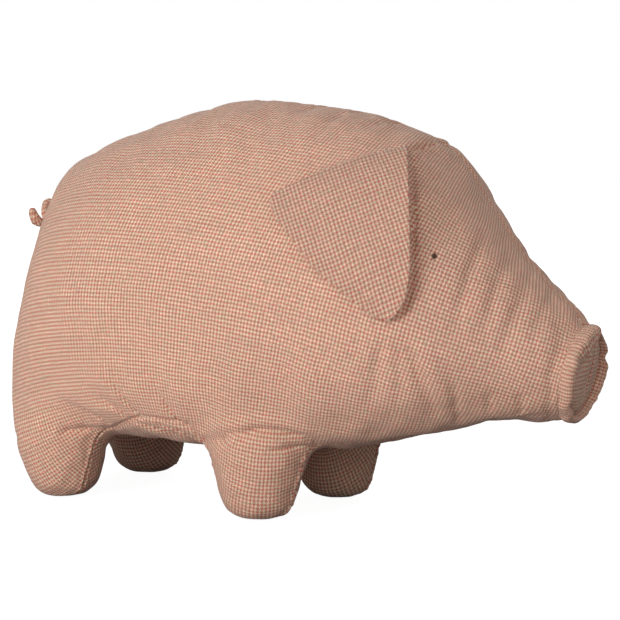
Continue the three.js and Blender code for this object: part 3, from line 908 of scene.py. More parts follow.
def refined(mesh):
    """Halves the squares near the folds and seams, and once more in the crisp folds and the seams of the legs."""
    bm = bmesh.new()
    bm.from_mesh(mesh)
    for crisp_only, fold_reach, seam_reach in ((False, 9 * MM, 6 * MM), (True, 3.6 * MM, 3.4 * MM)):
        places = np.array([v.co for v in bm.verts])
        bm.normal_update()
        normals = np.array([v.normal for v in bm.verts])
        near = seam_distance(places, normals) < seam_reach
        if crisp_only:
            near &= places[:, 2] < 66 * MM
        for line, _, crisp in fold_lines():
            if crisp or not crisp_only:
                near |= nearest_on(line, places)[0] < fold_reach
        bm.verts.index_update()
        edges = [e for e in bm.edges if near[e.verts[0].index] and near[e.verts[1].index]]
        bmesh.ops.subdivide_edges(bm, edges=edges, cuts=1, use_grid_fill=True)
    fine = bpy.data.meshes.new("fine")
    bm.to_mesh(fine)
    bm.free()
    set_places(fine, evened(places_of(fine), edges_of(fine), 1, factor=0.4))
    return fine


def swelling(mesh, look):
    """How the stuffed cloth departs from the plain form, along the normals and across them."""
    places, normals, edges = places_of(mesh), normals_of(mesh), edges_of(mesh)
    distance = seam_distance(places, normals)
    ahead = (places - SNOUT_ROOT) @ SNOUT_FORWARDS
    moved = np.zeros_like(places)
    held = (distance < 1.3 * look.square) | (ahead > 2 * MM) | (places[:, 2] < 1.5 * MM)
    moved = blown_up(mesh, held, look) - places
    moved = moved - evened(moved, edges, 60)
    rise = (moved * normals).sum(1)
    capped = look.most_swell * np.tanh(rise * look.crumple / look.most_swell)
    moved = (moved - normals * rise[:, None]) * look.crumple + normals * capped[:, None]
    lumps = noise_at(places, 34 * MM, 1.0) * 0.9 + noise_at(places, 17 * MM, 2.0) * 0.4
    sole = smooth_step(places[:, 2], 1 * MM, 14 * MM)
    moved += normals * (lumps * look.lumps * sole)[:, None]
    return moved


def seam_shift(places, normals):
    """How far the cloth sinks, puckers or stands up along its seams."""
    belly = along_surface(belly_side, places, normals)
    crest = along_surface(crest_side, places, normals)
    on_belly = belly_side(places) < 0
    near_belly, near_crest = np.abs(belly), np.where(on_belly, 1.0, np.abs(crest))
    height = places[:, 2]
    on_leg = 1 - smooth_step(height, 48 * MM, 60 * MM)
    sink = -2.1 * MM * np.exp(-((near_crest / (2.6 * MM)) ** 2))
    sink -= 1.9 * MM * np.exp(-((near_belly / (2.4 * MM)) ** 2)) * (1 - on_leg)
    twist = noise_at(places, 3.6 * MM, 8.0)
    ridge = (1.3 + 0.7 * twist) * np.exp(-(((belly - 1.9 * MM) / (1.3 * MM)) ** 2))
    ridge -= 1.5 * np.exp(-((near_belly / (0.9 * MM)) ** 2))
    ridge += (0.7 - 0.5 * twist) * np.exp(-(((belly + 2.1 * MM) / (1.4 * MM)) ** 2))
    sink += ridge * MM * on_leg
    side = np.sign(places[:, 1]) + 2 * on_belly
    slow = np.stack([places[:, 0], places[:, 2], side * 0.4], 1)
    pucker = noise_at(slow, (9 * MM, 9 * MM, 0.1), 3.0) + 0.5 * noise_at(slow, (5 * MM, 5 * MM, 0.1), 4.0)
    patch = 0.55 + 0.6 * noise_at(slow, (60 * MM, 60 * MM, 0.3), 5.0)
    fade = np.exp(-near_crest / (9 * MM)) + 0.8 * np.exp(-near_belly / (6 * MM)) * (1 - 0.5 * on_leg)
    sole = smooth_step(height, 1 * MM, 8 * MM)
    return (sink + 1.15 * MM * pucker * patch.clip(0.1, 1.2) * fade.clip(0, 1)) * sole


def neck_shift(places, normals):
    """The gathers and the swelling where the head is drawn into the snout's ring."""
    offset = places - SNOUT_ROOT
    ahead = offset @ SNOUT_FORWARDS
    angle = np.arctan2(offset[:, 1], offset @ SNOUT_UPWARDS)
    ring = np.stack([np.cos(angle) * 2.4, np.sin(angle) * 2.4, ahead * 14], 1)
    gathers = noise_at(ring, 0.5, 6.0) + 0.5 * noise_at(ring, 0.24, 7.0)
    past = ahead - HEAD_OVERLAP
    near = np.exp(-np.abs(past) / (12 * MM))
    top = smooth_step(np.cos(angle), 0.3, 0.8)
    sink = smooth_step(past, -4.5 * MM, 0.5 * MM) * 1.4 * MM + smooth_step(past, -16 * MM, -3 * MM) * 1.6 * MM * top
    return gathers * near * 0.8 * MM * (1 - 0.5 * top) - sink


def cut_apart(mesh):
    """Runs edges along the seams and beside them, and cuts the cloth off just inside the snout's ring."""
    places, normals = places_of(mesh), normals_of(mesh)
    bm = bmesh.new()
    bm.from_mesh(mesh)
    belly_layer = bm.verts.layers.float.new("belly_side")
    crest_layer = bm.verts.layers.float.new("crest_side")
    belly, crest = along_surface(belly_side, places, normals), along_surface(crest_side, places, normals)
    for vert, a, b in zip(bm.verts, belly, crest):
        vert[belly_layer], vert[crest_layer] = a, b
    near_belly = lambda vert: abs(vert[belly_layer]) < 25 * MM
    off_belly = lambda vert: vert[belly_layer] > -1e-7
    for layer, allowed in ((belly_layer, near_belly), (crest_layer, off_belly)):
        for level in (0.0, 1.7 * MM, -1.7 * MM, 4.6 * MM, -4.6 * MM):
            cut_level(bm, layer, level, allowed)
    bmesh.ops.bisect_plane(
        bm,
        geom=[*bm.verts, *bm.edges, *bm.faces],
        plane_co=Vector(SNOUT_ROOT + SNOUT_FORWARDS * HEAD_OVERLAP),
        plane_no=Vector(SNOUT_FORWARDS),
        clear_outer=True,
    )
    bmesh.ops.remove_doubles(bm, verts=bm.verts, dist=0.04 * MM)
    cut = bpy.data.meshes.new("cut")
    bm.to_mesh(cut)
    bm.free()
    return cut


def panel_from(mesh, name, wanted):
    """A panel of its own from the faces of the cut cloth that are wanted, by their middles."""
    bm = bmesh.new()
    bm.from_mesh(mesh)
    belly_layer = bm.verts.layers.float["belly_side"]
    crest_layer = bm.verts.layers.float["crest_side"]
    doomed = []
    for face in bm.faces:
        belly = max((v[belly_layer] for v in face.verts), key=abs)
        crest = max((v[crest_layer] for v in face.verts), key=abs)
        if not wanted(belly, crest):
            doomed.append(face)
    bmesh.ops.delete(bm, geom=doomed, context="FACES")
    turn_in(bm)
    return object_from(bm, name)


def turn_in(bm, depth=2.6 * MM):
    """Turns a panel's edges inwards, as the allowance of a seam is."""
    bm.normal_update()
    rim = [e for e in bm.edges if e.is_boundary]
    inwards = {v: -v.normal for e in rim for v in e.verts}
    made = bmesh.ops.extrude_edge_only(bm, edges=rim)["geom"]
    for vert in [m for m in made if isinstance(m, bmesh.types.BMVert)]:
        source = next(e.other_vert(vert) for e in vert.link_edges if e.other_vert(vert) in inwards)
        vert.co += inwards[source] * depth


class PigCloth(bpy.types.PropertyGroup):
    """The cloth and how fully it is stuffed"""

    square: a_length("Cloth square", "Size of the cloth's squares", 4.0)
    thickness: a_length("Cloth thickness", "Thickness of the cloth", 1.0)
    repeat: a_length("Check up", "Repeat of the check up the cloth", 2.9)
    repeat_across: a_length("Check across", "Repeat of the check across the cloth", 2.62)
    lean: FloatProperty(
        name="Lean", description="How far the upright threads bow forwards with height, per metre", default=1.5
    )
    weave_relief: a_share("Weave relief", "Strength of the threads' relief", 0.55)
    pressure: FloatProperty(name="Stuffing pressure", description="Pressure of the stuffing", default=4.0)
    spare_cloth: a_share("Spare cloth", "Share by which the cloth is cut too large", 0.035)
    crumple: a_share("Crumple", "Share of the simulated creases that is kept", 0.75)
    most_swell: a_length("Most swell", "The furthest that the cloth moves in or out", 1.9)
    lumps: a_length("Lumps", "Height of the stuffing's soft lumps", 0.9)
    steps: IntProperty(name="Steps", description="Frames of the simulation", default=20)
    mixed_yarn: a_share("Mixed yarn", "How far the dyed threads stray from their colour", 0.95)
    flecks: a_share("Flecks", "How far single crossings stray in brightness", 0.36)
    cream: a_colour("Cream threads", "Colour of the cream threads", (0.955, 0.865, 0.755))
    rose: a_colour("Rose threads", "Colour of the rose threads", (0.875, 0.365, 0.36))
    olive: a_colour("Olive threads", "Colour of the olive threads", (0.62, 0.53, 0.38))


class PIG_OT_cloth(bpy.types.Operator):
    """Sews the two side panels and the belly panel, with the legs in them"""

    bl_idname = "pig.cloth"
    bl_label = "Sew Body Panels"

    def execute(self, context):
        look = context.scene.pig_cloth
        form = sewn_form(look.square)
        set_places(form, places_of(form) + swelling(form, look))
        plain = cut_apart(form)
        fine = refined(form)
        cut = cut_apart(fine)
        places, normals = places_of(cut), normals_of(cut)
        shift = seam_shift(places, normals) + neck_shift(places, normals) + fold_shift(places)
        places += normals * shift[:, None]
        places[:, 2] = np.maximum(places[:, 2], 0.15 * MM)
        set_places(cut, places)
        panels = [
            ("cloth_side_right", lambda belly, crest: belly > 0 and crest < 0, ("side_panel_right",)),
            ("cloth_side_left", lambda belly, crest: belly > 0 and crest > 0, ("side_panel_left",)),
            ("cloth_belly", lambda belly, crest: belly < 0, ("belly_panel",)),
        ]
        legs = {
            "cloth_side_right": ("leg_front_right_cover", "leg_rear_right_cover"),
            "cloth_side_left": ("leg_front_left_cover", "leg_rear_left_cover"),
            "cloth_belly": (),
        }
        tilt = math.radians(4)
        for name, wanted, nodes in panels:
            panel, flat = panel_from(cut, name, wanted), panel_from(plain, "flat", wanted)
            if name == "cloth_belly":
                unwrapped(flat, lambda p: np.abs(p[:, 0]) < 60 * MM, (1, 0, 0))
            else:
                flank = lambda p: (np.abs(p[:, 0] + 60 * MM) < 90 * MM) & (p[:, 2] > 110 * MM) & (p[:, 2] < 240 * MM)
                unwrapped(flat, flank, (math.cos(tilt), 0, -math.sin(tilt)), look.lean)
            grained(panel, flat)
            wall = panel.modifiers.new("Cloth", "SOLIDIFY")
            wall.thickness = look.thickness
            wall.offset = -1
            rounded(panel)
            dress(panel, checked_cotton(), "body", (*nodes, *legs[name]))
        for mesh in (form, plain, fine, cut):
            bpy.data.meshes.remove(mesh)
        return {"FINISHED"}


# The stuffing.

STUFFING_DEPTH = 6 * MM
NECK_REACH, NECK_LEAN = 136 * MM, math.radians(12)


def tufted(bm, seed):
    """Gives a stuffing lump the uneven face of packed fibre."""
    bm.normal_update()
    points = np.array([v.co for v in bm.verts])
    height = noise_at(points, 14 * MM, seed) * 0.6 * MM + noise_at(points, 6 * MM, seed + 1) * 0.35 * MM
    for vert, rise in zip(bm.verts, height):
        vert.co += vert.normal * (rise - 0.4 * MM)
    return bm


def cut_off(bm, place, outwards):
    """Cuts a closed form on a plane, keeps what lies behind it and closes the cut."""
    geometry = [*bm.verts, *bm.edges, *bm.faces]
    bmesh.ops.bisect_plane(bm, geom=geometry, plane_co=place, plane_no=outwards, clear_outer=True)
    bmesh.ops.holes_fill(bm, edges=[e for e in bm.edges if e.is_boundary], sides=0)
    bmesh.ops.triangulate(bm, faces=[f for f in bm.faces if len(f.verts) > 4])
    bmesh.ops.recalc_face_normals(bm, faces=bm.faces)
    return bm


class PIG_OT_stuffing(bpy.types.Operator):
    """Packs the torso, the head and the legs with fibre"""

    bl_idname = "pig.stuffing"
    bl_label = "Pack Stuffing"

    def execute(self, context):
        neck = Vector((NECK_REACH + SHIFT, 0, 0))
        ahead = Vector((math.cos(NECK_LEAN), 0, math.sin(NECK_LEAN)))
        snout = Vector(SNOUT_ROOT + SNOUT_FORWARDS * 2 * MM)
        lumps = [
            ("fill_torso", cut_off(body_form(STUFFING_DEPTH), neck - ahead * 0.6 * MM, ahead), "torso_stuffing"),
            ("fill_head", cut_off(body_form(STUFFING_DEPTH), neck + ahead * 0.6 * MM, -ahead), "head_stuffing"),
        ]
        cut_off(lumps[1][1], snout, Vector(SNOUT_FORWARDS))
        for number, (name, bm, node) in enumerate(lumps):
            lump = object_from(tufted(bm, 20.0 + number), name)
            dress(lump, fibre_filling(), "body", (node,))
        torso = bpy.data.objects["fill_torso"]
        for number, (name, reach, across, step) in enumerate(LEGS):
            leg = object_from(tufted(leg_form(reach, across, step, STUFFING_DEPTH), 30.0 + number), f"fill_{name}")
            cut = leg.modifiers.new("Cut", "BOOLEAN")
            cut.operation, cut.object, cut.solver = "DIFFERENCE", torso, "EXACT"
            mesh = finished(leg)
            bm = bmesh.new()
            bm.from_mesh(mesh)
            bpy.data.meshes.remove(mesh)
            bmesh.ops.translate(bm, verts=bm.verts, vec=(0, 0, -0.3 * MM))
            leg = object_from(bm, f"fill_{name}")
            dress(leg, fibre_filling(), "body", (f"leg_{name}_stuffing",))
        return {"FINISHED"}


# The ears.

# Ends of the right ear's seam on the body, the line down the ear and the way that it faces, all of them in
# the frame that the body was cut in.
EAR_REAR_END, EAR_FRONT_END = (107.42 * MM, -86.97 * MM, 236.49 * MM), (187.42 * MM, -35.07 * MM, 266.49 * MM)
EAR_DOWN, EAR_OUT = np.array([0.47468, -0.24260, -0.84606]), np.array([0.36642, -0.81953, 0.44057])
EAR_LENGTH = 117 * MM
EAR_REAR_EDGE = [
    (0.03, 0.015),
    (-0.012, 0.04),
    (-0.028, 0.12),
    (-0.01, 0.234),
    (0.04, 0.36),
    (0.078, 0.48),
    (0.13, 0.6),
    (0.205, 0.705),
    (0.28, 0.81),
    (0.345, 0.9),
    (0.405, 0.96),
    (0.47, 0.992),
]
EAR_FRONT_EDGE = [
    (1, 0),
    (0.985, 0.045),
    (0.95, 0.14),
    (0.91, 0.255),
    (0.865, 0.375),
    (0.825, 0.485),
    (0.782, 0.6),
    (0.742, 0.7),
    (0.7, 0.8),
    (0.65, 0.885),
    (0.6, 0.945),
    (0.53, 0.992),
]


class PigEars(bpy.types.PropertyGroup):
    """The ears' two layers of cloth"""

    layer: a_length("Layer", "Thickness of one layer", 1.05)
    clearance: a_length("Clearance", "Gap between the ear and the body", 1.0)
    lift: a_length("Front lift", "How far the front edge stands off", 12)
    far_lift: a_share("Left share", "Share of that lift on the left ear", 0.22)
    valley: a_length("Valley", "Depth of the soft hollow near the rear edge", 1.7)
    grain: an_angle("Grain", "Turn of the weave on the ear", 2)


def body_tree():
    """The outside of the sewn body, for placing what lies on it."""
    bm = bmesh.new()
    for name in ("cloth_side_right", "cloth_side_left"):
        bm.from_mesh(bpy.data.objects[name].data)
    tree = BVHTree.FromBMesh(bm)
    bm.free()
    return tree


def ear_layer(side, tree, height, look):
    """One layer of an ear, lying over the body at a height. Side is -1 for the right ear and 1 for the left."""
    mirror = np.array([1, -side, 1])
    shift = np.array([SHIFT, 0, 0])
    rear = (np.array(EAR_REAR_END) + shift) * mirror
    seam = (np.array(EAR_FRONT_END) - np.array(EAR_REAR_END)) * mirror
    down, out = EAR_DOWN * mirror, EAR_OUT * mirror
    along = 26
    rows = 30

    def shares(across, low):
        back, front = rows_at(EAR_REAR_EDGE, low), rows_at(EAR_FRONT_EDGE, low)
        edge = back + (front - back) * across[:, None]
        return edge[:, 0], edge[:, 1]

    def place(across, low):
        low = low**0.92
        s, t = shares(across, low)
        points = rear + s[:, None] * seam + (t * EAR_LENGTH)[:, None] * down
        base = []
        for point in points:
            hit = tree.ray_cast(Vector(point + out * 60 * MM), Vector(-out))[0]
            base.append(hit if hit is not None else Vector(point))
        base = np.array(base)
        rise = (base - points) @ out
        order = np.arange(len(rise)).reshape(rows + 1, along + 1)
        pairs = list(zip(order[:, :-1].ravel(), order[:, 1:].ravel()))
        pairs += list(zip(order[:-1].ravel(), order[1:].ravel()))
        calm = evened(rise[:, None], np.array(pairs), 14, smooth_step(low, 0.0, 0.12))[:, 0]
        lift = look.lift * across**2.2 * np.minimum(1, low * 4) ** 0.7 * (1 - 0.45 * low**2)
        lift *= 1.0 if side < 0 else look.far_lift
        valley = smooth_step(low, 0.05, 0.3) * (1 - smooth_step(low, 0.75, 0.98))
        lift += look.valley * valley * (1 - np.exp(-(((across - 0.22) / 0.1) ** 2)))
        tip = 1.6 * MM * smooth_step(low, 0.7, 1.0)
        lumps = noise_at(np.stack([s, t, s * 0 + side], 1), 0.3, 41.0) * 0.7 * MM * np.sin(np.pi * across)
        seated = smooth_step(low, 0.0, 0.05)
        press = 1.0 if side < 0 else 1 - 0.75 * smooth_step(across, 0.4, 0.8) * (1 - smooth_step(low, 0.15, 0.5))
        over = (height * (0.35 + 0.65 * seated) + (lift + tip + lumps) * seated) * press
        return points + (calm + over)[:, None] * out

    def grain(across, low):
        s, t = shares(across, low**0.92)
        flat = np.stack([s * np.linalg.norm(seam), -t * EAR_LENGTH], 1)
        cos, sin = math.cos(look.grain), math.sin(look.grain)
        return flat @ np.array([[cos, sin], [-sin, cos]])

    return grid(along, rows, place, grain)


class PIG_OT_ears(bpy.types.Operator):
    """Sews the two layers of each ear along its seam"""

    bl_idname = "pig.ears"
    bl_label = "Sew Ears"

    def execute(self, context):
        look = context.scene.pig_ears
        tree = body_tree()
        for side, name in ((-1, "right"), (1, "left")):
            for layer, height in (("lining", look.clearance), ("outer", look.clearance + look.layer + 0.12 * MM)):
                bm = ear_layer(side, tree, height, look)
                out = Vector(EAR_OUT * np.array([1, -side, 1]))
                bm.normal_update()
                if sum((f.normal for f in bm.faces), Vector()).dot(out) < 0:
                    bmesh.ops.reverse_faces(bm, faces=bm.faces)
                flap = object_from(bm, f"flap_{name}_{layer}")
                wall = flap.modifiers.new("Cloth", "SOLIDIFY")
                wall.thickness, wall.offset = look.layer, 1
                rounded(flap)
                # The ears' cotton is a darker copy of the same cloth: painted shade.
                dress(flap, checked_cotton("pig_ear_cotton", 0.86), None, (f"ear_{name}_{layer}",))
                joint = next(j for j in frame["joints"] if j["name"] == f"ear_{name}_flap")
                hinge = Vector(joint["pos_m"])
                down = Vector(EAR_DOWN * np.array([1, -side, 1]))
                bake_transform(flap, "body", f"ear_{name}", hinge - down * 1 * MM, hinge + down * 11 * MM)
        return {"FINISHED"}


# The snout.

# Profiles of the ring of cloth on the pig's right and on its left: distance along the snout and distance in
# from its outline, in mm.
CUFF_RIGHT = [
    (2, 4.4),
    (4.0, 2.1),
    (6.5, 0.7),
    (9.5, 0.1),
    (12.0, 0.6),
    (13.8, 2.4),
    (13.6, 4.8),
    (11.4, 6.4),
    (7.0, 7.2),
    (2.0, 8.0),
    (-2.0, 12.0),
    (-4.0, 17.0),
    (-4.0, 12.0),
    (2, 4.4),
]
CUFF_LEFT = [
    (2, 3.6),
    (4.0, 1.8),
    (6.5, 0.6),
    (10.0, 0.2),
    (13.2, 0.4),
    (15.2, 1.4),
    (15.0, 2.7),
    (12.4, 3.4),
    (7.0, 3.9),
    (1.0, 4.9),
    (-2.0, 10.0),
    (-4.0, 17.0),
    (-4.0, 12.0),
    (2, 3.6),
]


class PigSnout(bpy.types.PropertyGroup):
    """The snout's gathered ring and its padded disc"""

    puckers: a_length("Puckers", "Depth of the gathers", 0.9)
    flap: a_length("Near fold", "How far the ring's upper right folds over the disc", 9.5)
    flap_at: FloatProperty(
        name="Fold's place", description="Where round the ring that fold lies", default=0.55, unit="ROTATION"
    )
    recess: a_length("Place", "How far ahead of the head the disc lies", 9.4)
    tilt: an_angle("Tilt", "Turn of the disc in the ring", 3.5)
    gap: a_length("Gap", "Gap between the disc and the snout's outline", 7.3)


def round_snout(angle):
    """Upwards and sideways reach of the snout's outline at an angle from its top over the pig's right."""
    cos, sin = np.cos(angle)[:, None], np.sin(angle)[:, None]
    return SNOUT_UPWARDS * cos * SNOUT_HALF_HEIGHT, np.array([0, -1, 0]) * sin * SNOUT_HALF_WIDTH


def cuff_form(look):
    """The gathered ring of cloth round the end of the snout."""

    def place(turn, profile):
        angle = turn * 2 * math.pi
        right = (0.5 + 0.5 * np.sin(angle - 0.35))[:, None]
        row = (rows_at(CUFF_RIGHT, profile) * right + rows_at(CUFF_LEFT, profile) * (1 - right)) * MM
        ring = np.stack([np.cos(angle), np.sin(angle), profile * 0], 1)
        gather = noise_at(ring, (0.2, 0.2, 1), 50.0) + 0.6 * noise_at(ring, (0.1, 0.1, 1), 51.0)
        waver = noise_at(ring, (0.7, 0.7, 1), 52.0)
        out = smooth_step(row[:, 0], 3 * MM, 14 * MM)
        fold = np.exp(-(((angle - 4.99) / 0.09) ** 2)) * out
        slack = np.exp(-(((angle - 5.75) / 0.42) ** 2)) * out
        around = np.minimum(np.abs(angle - look.flap_at), np.abs(angle - look.flap_at - 2 * math.pi))
        inner = smooth_step(profile, 4.4 / 13, 6.2 / 13) * (1 - smooth_step(profile, 8.4 / 13, 10.4 / 13))
        flap = look.flap * np.exp(-((around / 0.62) ** 2)) * inner
        ahead = row[:, 0] * (1 + 0.06 * waver * out) + gather * look.puckers * out - fold * 2.2 * MM
        inset = row[:, 1] + gather * look.puckers * 0.7 * smooth_step(row[:, 0], 2 * MM, 8 * MM) + fold * 1.0 * MM
        inset = inset + flap
        ahead = ahead + 0.16 * flap - 5.5 * MM * slack
        up, over = round_snout(angle)
        length = np.linalg.norm(up + over, axis=1)[:, None]
        return SNOUT_ROOT + (up + over) * (1 - inset[:, None] / length) + SNOUT_FORWARDS * ahead[:, None]

    def grain(turn, profile):
        return np.stack([turn * 2 * math.pi * 33 * MM, profile * 62 * MM], 1)

    bm = grid(144, 44, place, grain)
    bmesh.ops.remove_doubles(bm, verts=bm.verts, dist=1e-6)
    bmesh.ops.recalc_face_normals(bm, faces=bm.faces)
    return bm


def disc_form(look):
    """The padded disc that is sunk into the ring, nearest its mouth on the pig's right."""

    def place(turn, out):
        angle = turn * 2 * math.pi
        top = out < 0.66
        share = np.where(top, out / 0.66, 1 - (out - 0.66) / 0.34)
        dome = np.clip(1 - share**5, 0, 1) ** 0.5
        face = np.where(top, 3.2 * MM * dome, -4.5 * MM * dome)
        radius = (np.clip(share, 0, 1) ** 0.9)[:, None]
        up, over = round_snout(angle)
        length = np.linalg.norm(up + over, axis=1)[:, None]
        reach = (up + over) * (1 - look.gap / length) * radius
        right = -(reach @ np.array([0, 1, 0]))
        fold = np.exp(-(((right + 6 * MM) / (2.4 * MM)) ** 2)) * top * np.clip(1.1 - share, 0, 1) * 2.2 * MM
        lump = noise_at(reach, 14 * MM, 55.0) * 0.6 * MM * top
        around = np.minimum(np.abs(angle - look.flap_at), np.abs(angle - look.flap_at - 2 * math.pi))
        under = 3.6 * MM * np.exp(-((around / 0.7) ** 2)) * smooth_step(share, 0.2, 0.8) * top
        depth = look.recess + math.tan(look.tilt) * right + face - fold + lump - under
        return SNOUT_ROOT + reach + np.array([0, 1.2 * MM, 0]) + SNOUT_FORWARDS * depth[:, None]

    def grain(turn, out):
        angle = turn * 2 * math.pi
        share = np.where(out < 0.66, out / 0.66, 1 + (out - 0.66) / 0.34 * 0.3) * 28 * MM
        return np.stack([share * np.sin(angle), share * np.cos(angle)], 1)

    return closed(grid(72, 36, place, grain))


class PIG_OT_snout(bpy.types.Operator):
    """Gathers the snout's ring of cloth and sets the padded disc in it"""

    bl_idname = "pig.snout"
    bl_label = "Gather Snout"

    def execute(self, context):
        look = context.scene.pig_snout
        for name, bm, node, fill in (
            ("gathered_ring", cuff_form(look), "snout_cuff", 0.5),
            ("nose_pad", disc_form(look), "snout_disc", 0.4),
        ):
            piece = object_from(bm, name)
            rounded(piece)
            dress(piece, checked_cotton(), "body", (node,))
        return {"FINISHED"}


# The eyes and the tail.

# Stitches of the right eye: the ends of each in mm across and up from its middle, its bow and half thickness.
EYE_STITCHES = [
    ((-2.3, 0.2), (2.3, 0.3), 1.1, 0.52),
    ((-1.7, 0.9), (1.7, 1.1), 1.0, 0.5),
    ((-1.7, -0.6), (1.6, -0.5), 1.0, 0.5),
    ((-0.9, 1.7), (0.8, 1.8), 0.8, 0.45),
    ((-0.9, -1.5), (0.9, -1.4), 0.8, 0.45),
    ((0.1, -2.4), (0.2, 2.5), 1.5, 0.42),
    ((-0.6, -2.1), (-1.3, -3.0), 0.5, 0.2),
]


class PigEyes(bpy.types.PropertyGroup):
    """The embroidered eyes"""

    colour: a_colour("Thread", "Colour of the thread", (0.25, 0.15, 0.09))


def tube(path, radius, sides, turns=0.0, grain_scale=1.0, flat=1.0):
    """A closed tube along a path of points, with a radius at each, twisted along its length."""
    path, radius = np.asarray(path, float), np.asarray(radius, float)
    tangent = np.gradient(path, axis=0)
    tangent /= np.linalg.norm(tangent, axis=1)[:, None]
    frame_x = [np.cross(tangent[0], (0.31, 0.17, 0.93))]
    for step in tangent[1:]:
        frame_x.append(frame_x[-1] - step * (frame_x[-1] @ step))
        frame_x[-1] = frame_x[-1] / np.linalg.norm(frame_x[-1])
    frame_x[0] = frame_x[0] / np.linalg.norm(frame_x[0])
    frame_x = np.array(frame_x)
    frame_y = np.cross(tangent, frame_x)
    steps = len(path) - 1
    length = np.linalg.norm(np.diff(path, axis=0), axis=1).sum()

    def place(turn, along):
        row = np.round(along * steps).astype(int)
        angle = turn * 2 * math.pi
        twist = turns * 2 * math.pi * along
        x, y = np.cos(angle), np.sin(angle) * flat
        turned_x, turned_y = x * np.cos(twist) - y * np.sin(twist), x * np.sin(twist) + y * np.cos(twist)
        r = radius[row][:, None]
        return path[row] + (frame_x[row] * turned_x[:, None] + frame_y[row] * turned_y[:, None]) * r

    def grain(turn, along):
        return np.stack([turn * 2 * math.pi * radius.mean() * grain_scale, along * length], 1)

    return closed(grid(sides, steps, place, grain))


class PIG_OT_eyes(bpy.types.Operator):
    """Embroiders the eyes on the head"""

    bl_idname = "pig.eyes"
    bl_label = "Embroider Eyes"

    def execute(self, context):
        tree = body_tree()
        for side, name in ((-1, "right"), (1, "left")):
            low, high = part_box(f"eye_{name}")
            middle = (Vector(low) + Vector(high)) / 2
            hit, normal, _, _ = tree.find_nearest(middle)
            if normal.dot(Vector((0, side, 0))) < 0:
                normal = -normal
            ahead = Vector((1, 0, 0)) - normal * normal.x
            ahead.normalize()
            up = normal.cross(ahead) * -side
            stitches = []
            for start, end, bow, thick in EYE_STITCHES:
                path = []
                for share in np.linspace(0, 1, 13):
                    flat = np.array(start) * (1 - share) + np.array(end) * share
                    rise = math.sin(math.pi * share) ** 0.7 * bow - 0.5
                    path.append((hit + (ahead * flat[0] + up * flat[1] + normal * rise) * MM)[:])
                round_ends = np.sqrt(np.clip(1 - np.abs(np.linspace(-1, 1, 13)) ** 5, 0.15, 1))
                stitches.append(tube(path, round_ends * thick * MM, 9))
            eye = add_object(f"stitched_eye_{name}", mesh_of(*stitches))
            rounded(eye)
            dress(eye, dark_thread(), "body", (f"eye_{name}",))
        return {"FINISHED"}


class PigTail(bpy.types.PropertyGroup):
    """The curled tail"""

    thick: a_length("Thickness", "Radius of the tail", 4.1)
    curl: a_length("Curl", "Radius of its curl", 9.4)
    twist: FloatProperty(name="Twist", description="Turns that the cloth is twisted", default=1.6)


class PIG_OT_tail(bpy.types.Operator):
    """Twists and curls the tail"""

    bl_idname = "pig.tail"
    bl_label = "Twist Tail"

    def execute(self, context):
        look = context.scene.pig_tail
        seat = next(j for j in frame["joints"] if j["name"] == "tail_sway")["pos_m"]
        steps = 60
        path, radius = [], []
        for step in range(steps + 1):
            along = step / steps
            turned = 2 * math.pi * 1.3 * along
            grown = look.curl * min(1, along / 0.5)
            back = 6 * MM * min(1, along / 0.33) + 8.5 * MM * 1.3 * along
            rise = grown * (1 - math.cos(turned))
            path.append((seat[0] - back - 0.5 * MM, -grown * math.sin(turned), seat[2] + rise))
            end = min(1, (1 - along) / 0.07 + 0.12)
            radius.append(look.thick * math.sqrt(1 - (1 - end) ** 2) * (1 + 0.1 * math.sin(along * 31)))
        bm = tube(path, radius, 26, look.twist, 1.0, 0.82)
        points = np.array([v.co for v in bm.verts])
        bm.normal_update()
        for vert, rise in zip(bm.verts, noise_at(points, 3.4 * MM, 61.0) * 0.45 * MM):
            vert.co += vert.normal * rise
        tail = object_from(bm, "curly_tail")
        rounded(tail)
        dress(tail, checked_cotton(), "tail", ("tail",))
        return {"FINISHED"}


# The stage.

CAMERA_TARGET = Vector((92 * MM + SHIFT, 0, 146 * MM))


class PigStage(bpy.types.PropertyGroup):
    """The camera, lamps and floor"""

    azimuth: an_angle("Azimuth", "Camera's turn round the pig", 28)
    elevation: an_angle("Elevation", "Camera's height as an angle", 6)
    distance: FloatProperty(name="Distance", description="Camera's distance", default=1.4, unit="LENGTH")
    lens: FloatProperty(name="Lens", description="Camera's focal length in mm", default=36 * 1890 / 620)
    key: a_power("Key lamp", "Power of the key lamp", 9.5)
    key_azimuth: an_angle("Key azimuth", "Key lamp's turn round the pig", -12)
    key_elevation: an_angle("Key elevation", "Key lamp's height as an angle", 9)
    softbox: a_power("Softbox", "Power of the large soft lamp", 9.0)
    backlight: a_power("Back light", "Power of the lamp behind", 12.0)
    fill: FloatProperty(name="Fill", description="Strength of the light from all round", default=0.42)
    bounce: a_share("Bounce", "Share of the light that the floor throws back", 0.98)
    # Painted shade on the floor under and behind the pig, seen only by bounced light.
    bounce_under: a_colour("Bounce below", "The same under and behind the pig", (0.2, 0.13, 0.09))
    floor: a_colour("Floor", "Colour of the floor", (0.97, 0.97, 0.97))


def add_lamp(name, place, target, width, height, power):
    """An area lamp that looks at a point."""
    data = bpy.data.lights.new(name, "AREA")
    data.shape = "RECTANGLE"
    data.size, data.size_y, data.energy = width, height, power
    lamp = bpy.data.objects.new(name, data)
    bpy.context.scene.collection.objects.link(lamp)
    lamp.location = place
    lamp.rotation_mode = "QUATERNION"
    lamp.rotation_quaternion = (Vector(target) - Vector(place)).to_track_quat("-Z", "Y")
    return lamp


